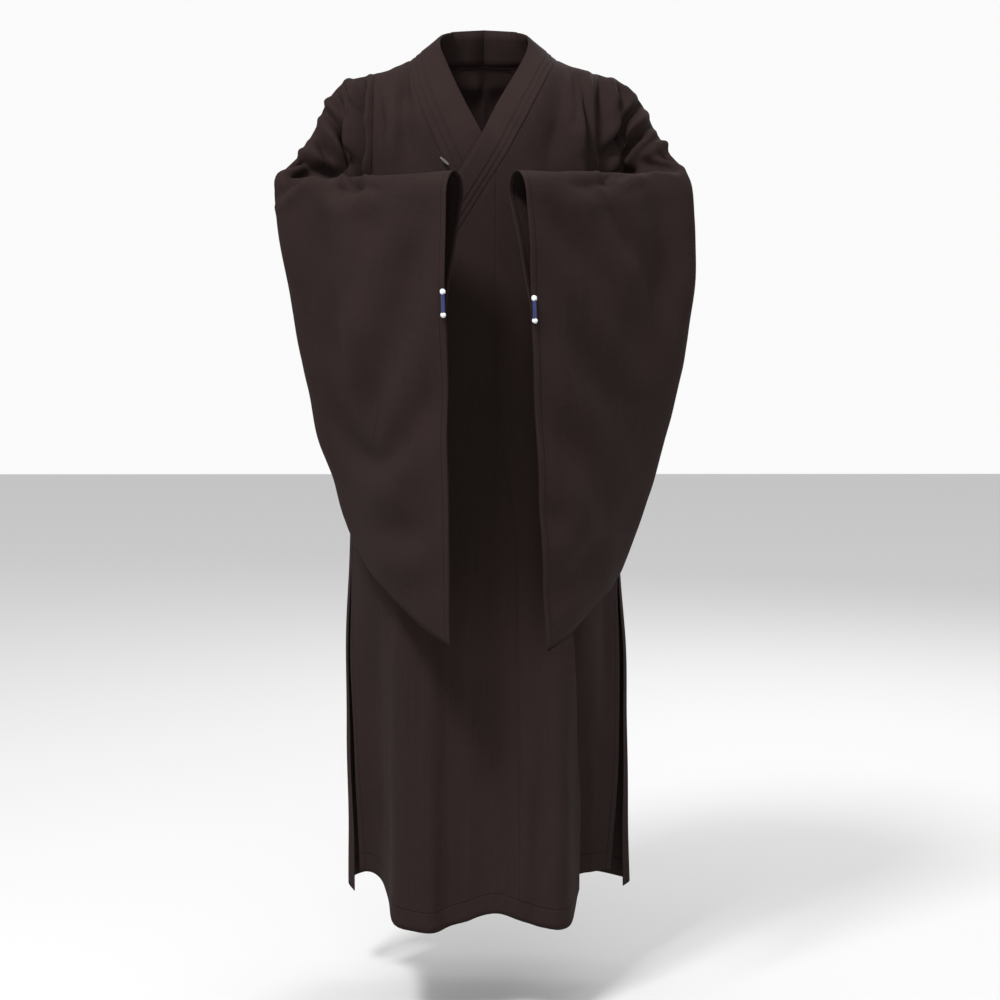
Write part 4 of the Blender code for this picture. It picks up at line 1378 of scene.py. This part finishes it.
def cloth_material():
    """Matt dark brown plain-woven cloth with a faint sheen, its stitched turns and soft unevenness."""
    found = bpy.data.materials.get("woven_brown")
    if found:
        return found
    settings = bpy.context.scene.robe_cloth
    material, tree, shader = new_material("woven_brown", *CLOTH_SURFACE)
    places = metre_map(tree)
    parts = tree.nodes.new("ShaderNodeSeparateXYZ")
    tree.links.new(places, parts.inputs[0])
    weave = use_group(tree, shared_group("Plain weave", weave_group), Map=places, Threads=settings.thread)
    stitches = shared_group("Stitched turn", stitch_group)
    hem = use_group(tree, stitches, Distance=attribute(tree, "hem_line"), Along=parts.outputs[0])
    side = use_group(tree, stitches, Distance=attribute(tree, "side_line"), Along=parts.outputs[1])
    thread = sums(tree, "MAXIMUM", hem.outputs["Thread"], side.outputs["Thread"])
    turn = sums(tree, "MAXIMUM", hem.outputs["Turn"], side.outputs["Turn"])

    coordinates = tree.nodes.new("ShaderNodeTexCoord").outputs["Object"]
    clouds = stepped(tree, noise(tree, coordinates, CLOUD_SCALE, 3.0), *CLOUD_RANGE)
    base = mixed(tree, clouds, shaded(settings.colour, CLOUD_DARK), shaded(settings.colour, CLOUD_LIGHT))
    light_threads = stepped(tree, weave.outputs["Tone"], *STREAK_RANGE, 0.0, THREAD_TONE_SHARE)
    toned = mixed(tree, light_threads, base, shaded(settings.colour, THREAD_LIGHT))
    stitch_share = sums(tree, "MULTIPLY", thread, STITCH_TONE_SHARE)
    stitched = mixed(tree, stitch_share, toned, shaded(settings.colour, STITCH_DARK))
    tree.links.new(stitched, shader.inputs["Base Color"])

    rumple = noise(tree, coordinates, RUMPLE_SCALE, 2.0)
    woven = sums(tree, "MULTIPLY", weave.outputs["Height"], WEAVE_RELIEF)
    height = sums(tree, "ADD", woven, sums(tree, "MULTIPLY", rumple, RUMPLE_RELIEF))
    height = sums(tree, "ADD", height, sums(tree, "MULTIPLY", turn, TURN_RELIEF))
    height = sums(tree, "SUBTRACT", height, sums(tree, "MULTIPLY", thread, STITCH_RELIEF))
    bumped(tree, shader, height, CLOTH_RELIEF)
    return material


def cord_group():
    """Slanting strands of a wound cord on a map in metres: their colour, with painted shade in the hollows
    between them, and their height.
    """
    group, source, result = node_group(
        "Wound cord",
        [
            ("Map", "NodeSocketVector", None),
            ("Strands", "NodeSocketFloat", 350.0),
            ("Hollow", "NodeSocketColor", None),
            ("Crown", "NodeSocketColor", None),
        ],
        [("Colour", "NodeSocketColor"), ("Height", "NodeSocketFloat")],
    )
    wave = group.nodes.new("ShaderNodeTexWave")
    wave.bands_direction = "DIAGONAL"
    group.links.new(source.outputs["Strands"], wave.inputs["Scale"])
    group.links.new(source.outputs["Map"], wave.inputs["Vector"])
    # Painted shade: the hollows between the strands take the darker colour
    colour = mixed(group, wave.outputs["Fac"], source.outputs["Hollow"], source.outputs["Crown"])
    group.links.new(colour, result.inputs["Colour"])
    group.links.new(wave.outputs["Fac"], result.inputs["Height"])
    return group


def cord_material(name, colour, hollow_shade, strands, depth):
    """Wound cord of one colour; painted shade darkens its hollows to a share of that colour."""
    found = bpy.data.materials.get(name)
    if found:
        return found
    material, tree, shader = new_material(name, *CORD_SURFACE)
    cord = use_group(
        tree,
        shared_group("Wound cord", cord_group),
        Map=metre_map(tree),
        Strands=strands,
        Hollow=shaded(colour, (hollow_shade, hollow_shade, hollow_shade)),
        Crown=(*colour, 1.0),
    )
    tree.links.new(cord.outputs["Colour"], shader.inputs["Base Color"])
    bumped(tree, shader, cord.outputs["Height"], depth)
    return material


# Builders of the pieces


def sleeve_facing(side):
    """Way the outer face of the sleeve looks at each station."""
    rows = SLEEVE_ROWS_LEFT if side > 0 else SLEEVE_ROWS_RIGHT
    turns = np.radians([read(rows, station)[6] for station in stations()])
    return np.stack([side * np.sin(turns), np.cos(turns), np.zeros_like(turns)], axis=1)


def attach(piece, node):
    """The piece rides on the robe and stands for its node, whose imported part is hidden."""
    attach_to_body(piece, "root")
    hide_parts(node)


def build_body_half(side):
    settings = bpy.context.scene.robe_cloth
    grid = body_half(side)
    inner, outer, back_hem, front_hem = edge_distances(grid)
    low = grid[..., 2]
    side_free = ease((SLIT_TOP - low) / SLIT_RAMP)
    keep = ease(inner / SEAM_KEEP) * np.maximum(ease(outer / SIDE_KEEP), side_free)
    laid, normals = creased(grid, False, BODY_FRONT_CREASES, BODY_BACK_CREASES, True, keep)
    dip = seam_dip(inner) + seam_dip(outer) * (1 - side_free)
    laid = laid - normals * dip[..., None]
    hem_line = np.minimum(back_hem, front_hem) - settings.hem_turn
    side_line = np.where(low < SLIT_TOP, outer, NO_EDGE) - settings.side_turn
    word = side_word(side)
    attributes = {"hem_line": hem_line, "side_line": side_line}
    piece = walled(laid_mesh(f"body_{word}_cloth", laid, False, side < 0, attributes, cloth_material()))
    attach(piece, f"body_{word}")


def build_gore():
    settings = bpy.context.scene.robe_cloth
    grid = overlap_half()
    inner, outer, top, hem = edge_distances(grid)
    keep = ease(inner / SEAM_KEEP) * ease(top / SEAM_KEEP)
    laid, normals = creased(grid, False, BODY_FRONT_CREASES, BODY_BACK_CREASES, True, keep)
    laid = laid - normals * (seam_dip(inner) + seam_dip(top))[..., None]
    attributes = {"hem_line": hem - settings.hem_turn, "side_line": outer - settings.side_turn}
    piece = walled(laid_mesh("front_overlap_cloth", laid, False, False, attributes, cloth_material()))
    attach(piece, "front_overlap")


def build_band(side):
    word = "over" if side > 0 else "under"
    build = new_build()
    add_rings(build, band_rings(side))
    for layer in ("hem_line", "side_line"):
        values = build.verts.layers.float.new(layer)
        for vertex in build.verts:
            vertex[values] = NO_EDGE
    piece = finished(f"collar_{word}_band", build, cloth_material())
    attach(piece, f"collar_{word}")


def build_sleeve(side):
    settings = bpy.context.scene.robe_cloth
    grid = sleeve_tube(side)
    closed_grid = np.concatenate([grid, grid[:, :1]], axis=1)
    _, _, armhole, cuff = edge_distances(closed_grid)
    armhole, cuff = armhole[:, :-1], cuff[:, :-1]
    beside_cuff = CUFF_CREASE_SHARE + (1 - CUFF_CREASE_SHARE) * ease(cuff / CUFF_CREASE_REACH)
    keep = ease(armhole / ARMHOLE_KEEP) * beside_cuff
    front = SLEEVE_FRONT_CREASES_LEFT if side > 0 else SLEEVE_FRONT_CREASES_RIGHT
    back = SLEEVE_BACK_CREASES_LEFT if side > 0 else SLEEVE_BACK_CREASES_RIGHT
    laid, normals = creased(grid, True, front, back, False, keep)
    laid = laid - normals * seam_dip(armhole)[..., None]
    drapes = SLEEVE_DRAPES_LEFT if side > 0 else SLEEVE_DRAPES_RIGHT
    hanging = ease((stations() - DRAPES_START) / DRAPES_RAMP)[:, None]
    hanging = hanging * (CUFF_DRAPE_SHARE + (1 - CUFF_DRAPE_SHARE) * ease(cuff / CUFF_DRAPE_REACH))
    push = crease_push(drapes, grid[..., 0], grid[..., 2], DRAPE_POWER) * hanging * settings.creases
    laid = laid - sleeve_facing(side)[:, None, :] * push[..., None]
    word = side_word(side)
    attributes = {"hem_line": cuff - settings.side_turn, "side_line": np.full(cuff.shape, NO_EDGE)}
    piece = walled(laid_mesh(f"sleeve_{word}_cloth", laid, True, side < 0, attributes, cloth_material()))
    attach(piece, f"sleeve_{word}")


def cuff_face(side, down):
    """Place just clear of the cuff's outer face, close to its edge, at a share of the cuff's height."""
    angle = np.array([2 * math.pi - math.acos(1 - 2 * down)])
    facing = math.radians(read(SLEEVE_ROWS_LEFT if side > 0 else SLEEVE_ROWS_RIGHT, TIE_STATION)[6])
    outward = Vector((side * math.sin(facing), math.cos(facing), 0.0))
    return Vector(bag_ring(side, TIE_STATION, angle)[0]) + outward * KNOT_CLEAR


def build_tie(side):
    """Blue bar of two twisted strands, lying on the cuff between its knots."""
    word = side_word(side)
    high, low = (cuff_face(side, share) for share in TIE_ROWS[side])
    along = (low - high).normalized()
    first = along.cross(Vector((0.0, -1.0, 0.0))).normalized()
    second = along.cross(first)
    build = new_build()
    for phase in (0.0, math.pi):
        places = []
        for k in range(STRAND_STEPS + 1):
            share = STRAND_START + (1 - 2 * STRAND_START) * k / STRAND_STEPS
            turn = phase + 2 * math.pi * STRAND_TURNS * share
            aside = first * math.cos(turn) + second * math.sin(turn)
            places.append(high.lerp(low, share) + aside * STRAND_OFFSET)
        add_rings(build, tube_grid(places, STRAND_RADIUS, STRAND_SIDES))
    material = cord_material("blue_cord", bpy.context.scene.robe_cloth.tie_colour, *TIE_CORD)
    attach(finished(f"cuff_tie_{word}_cord", build, material), f"cuff_tie_{word}")


def build_knot(side, place, share, stretch):
    """White button knot: a round heart under wound turns of cord."""
    centre = cuff_face(side, share)
    build = new_build()
    heart = KNOT_RADIUS * HEART_SHARE
    rows = np.linspace(0.02, math.pi - 0.02, 15)
    line = [centre + Vector((0.0, 0.0, stretch * heart * math.cos(a))) for a in rows]
    add_rings(build, tube_grid(line, heart, HEART_SIDES, [math.sin(a) for a in rows]))
    for lean, heading in KNOT_TURNS:
        level = math.sin(lean)
        axis = Vector((level * math.cos(heading), level * math.sin(heading), math.cos(lean)))
        first = axis.orthogonal().normalized()
        second = axis.cross(first)
        places = []
        for k in range(TURN_STEPS + 1):
            angle = 2 * math.pi * k / TURN_STEPS
            spot = (first * math.cos(angle) + second * math.sin(angle)) * KNOT_RADIUS * TURN_SHARE
            places.append(centre + Vector((spot.x, spot.y, spot.z * stretch)))
        add_rings(build, tube_grid(places, KNOT_RADIUS * CORD_SHARE, CORD_SIDES))
    name = f"cuff_tie_{side_word(side)}_knot_{place}"
    material = cord_material("white_cord", bpy.context.scene.robe_cloth.knot_colour, *PALE_CORD)
    attach(finished(f"{name}_cord", build, material), name)


def build_loop():
    """Small pale loop of cord across the under collar's seam."""
    places = []
    for x, z in LOOP_ROUTE:
        fraction = fraction_at(-1, True, -x, z)
        places.append(Vector(body_point(-1, True, fraction, math.pi / 2, z, LOOP_LIFT)))
    high, low = places[0], places[-1]
    along = (low - high).normalized()
    across = along.cross(Vector((0.0, -1.0, 0.0))).normalized()
    middle = (high + low) / 2
    reach = LOOP_SHARE * (low - high).length / 2
    ring = []
    for k in range(LOOP_STEPS + 1):
        angle = 2 * math.pi * k / LOOP_STEPS
        ring.append(middle + along * reach * math.cos(angle) + across * LOOP_HALF_WIDTH * math.sin(angle))
    build = new_build()
    add_rings(build, tube_grid(ring, LOOP_RADIUS, CORD_SIDES))
    material = cord_material("pale_cord", bpy.context.scene.robe_cloth.loop_colour, *PALE_CORD)
    attach(finished("collar_loop_cord", build, material), "collar_loop")


# Operators and panel


class ROBE_OT_body(bpy.types.Operator):
    """Build the two body halves and the outer gore of the front"""

    bl_idname = "robe.body"
    bl_label = "Body and gore"

    def execute(self, context):
        build_body_half(1)
        build_body_half(-1)
        build_gore()
        return {"FINISHED"}


class ROBE_OT_collar(bpy.types.Operator):
    """Build both halves of the stepped collar band"""

    bl_idname = "robe.collar"
    bl_label = "Collar"

    def execute(self, context):
        build_band(1)
        build_band(-1)
        return {"FINISHED"}


class ROBE_OT_sleeves(bpy.types.Operator):
    """Build the two wide hanging sleeves"""

    bl_idname = "robe.sleeves"
    bl_label = "Sleeves"

    def execute(self, context):
        build_sleeve(1)
        build_sleeve(-1)
        return {"FINISHED"}


class ROBE_OT_ties(bpy.types.Operator):
    """Build the blue cuff ties with their white knots, and the collar loop"""

    bl_idname = "robe.ties"
    bl_label = "Ties and loop"

    def execute(self, context):
        for side in (1, -1):
            build_tie(side)
            build_knot(side, "top", TIE_ROWS[side][0], TOP_KNOT_STRETCH)
            build_knot(side, "low", TIE_ROWS[side][1], 1.0)
        build_loop()
        return {"FINISHED"}


class ROBE_OT_stage(bpy.types.Operator):
    """Build the pale floor, the soft studio light and the camera"""

    bl_idname = "robe.stage"
    bl_label = "Stage"

    def execute(self, context):
        settings = context.scene.robe_stage
        build = bmesh.new()
        bmesh.ops.create_grid(build, x_segments=1, y_segments=1, size=FLOOR_HALF_SIZE)
        for vertex in build.verts:
            vertex.co.z = settings.floor_level
        material, _, shader = new_material("pale_floor", *FLOOR_SURFACE)
        shader.inputs["Base Color"].default_value = FLOOR_COLOUR
        floor = finished("floor", build, material)

        world = bpy.data.worlds.new("studio")
        world.use_nodes = True
        world.node_tree.nodes["Background"].inputs["Color"].default_value = (1.0, 1.0, 1.0, 1.0)
        world.node_tree.nodes["Background"].inputs["Strength"].default_value = SKY_STRENGTH
        context.scene.world = world
        for name, place, size, share in LAMPS:
            self.light(name, place, size, settings.key * share)
        context.scene.view_settings.view_transform = "Standard"

        camera = bpy.data.cameras.new("camera")
        camera.lens = settings.lens
        camera.sensor_width = FILM_WIDTH
        holder = bpy.data.objects.new("camera", camera)
        camera.shift_y = CAMERA_SHIFT
        holder.location = (CAMERA_X, -settings.distance, settings.eye_level)
        holder.rotation_euler = (math.pi / 2 - settings.tilt, 0.0, -settings.turn)
        context.scene.collection.objects.link(holder)
        context.scene.camera = holder
        return {"FINISHED"}

    def light(self, name, place, size, power):
        """Soft square lamp turned towards the robe's middle."""
        lamp = bpy.data.lights.new(name, "AREA")
        lamp.energy = power
        lamp.size = size
        holder = bpy.data.objects.new(name, lamp)
        holder.location = place
        holder.rotation_euler = (Vector(LAMP_TARGET) - Vector(place)).to_track_quat("-Z", "Y").to_euler()
        bpy.context.scene.collection.objects.link(holder)


class ROBE_PT_panel(bpy.types.Panel):
    """Sizes and builders of the robe"""

    bl_idname = "ROBE_PT_panel"
    bl_label = "Monk's Robe"
    bl_space_type = "VIEW_3D"
    bl_region_type = "UI"
    bl_category = "Robe"

    def draw(self, context):
        layout = self.layout
        for settings in (context.scene.robe_cloth, context.scene.robe_stage):
            for name in settings.__annotations__:
                layout.prop(settings, name)
        for builder in BUILDERS:
            layout.operator(builder.bl_idname)


BUILDERS = (ROBE_OT_body, ROBE_OT_collar, ROBE_OT_sleeves, ROBE_OT_ties, ROBE_OT_stage)
CLASSES = (RobeCloth, RobeStage) + BUILDERS + (ROBE_PT_panel,)


def register():
    for item in CLASSES:
        bpy.utils.register_class(item)
    bpy.types.Scene.robe_cloth = bpy.props.PointerProperty(type=RobeCloth)
    bpy.types.Scene.robe_stage = bpy.props.PointerProperty(type=RobeStage)


def unregister():
    del bpy.types.Scene.robe_stage
    del bpy.types.Scene.robe_cloth
    for item in reversed(CLASSES):
        bpy.utils.unregister_class(item)


def main():
    register()
    bpy.ops.robe.body()
    bpy.ops.robe.collar()
    bpy.ops.robe.sleeves()
    bpy.ops.robe.ties()
    bpy.ops.robe.stage()


if __name__ == "__main__":
    main()
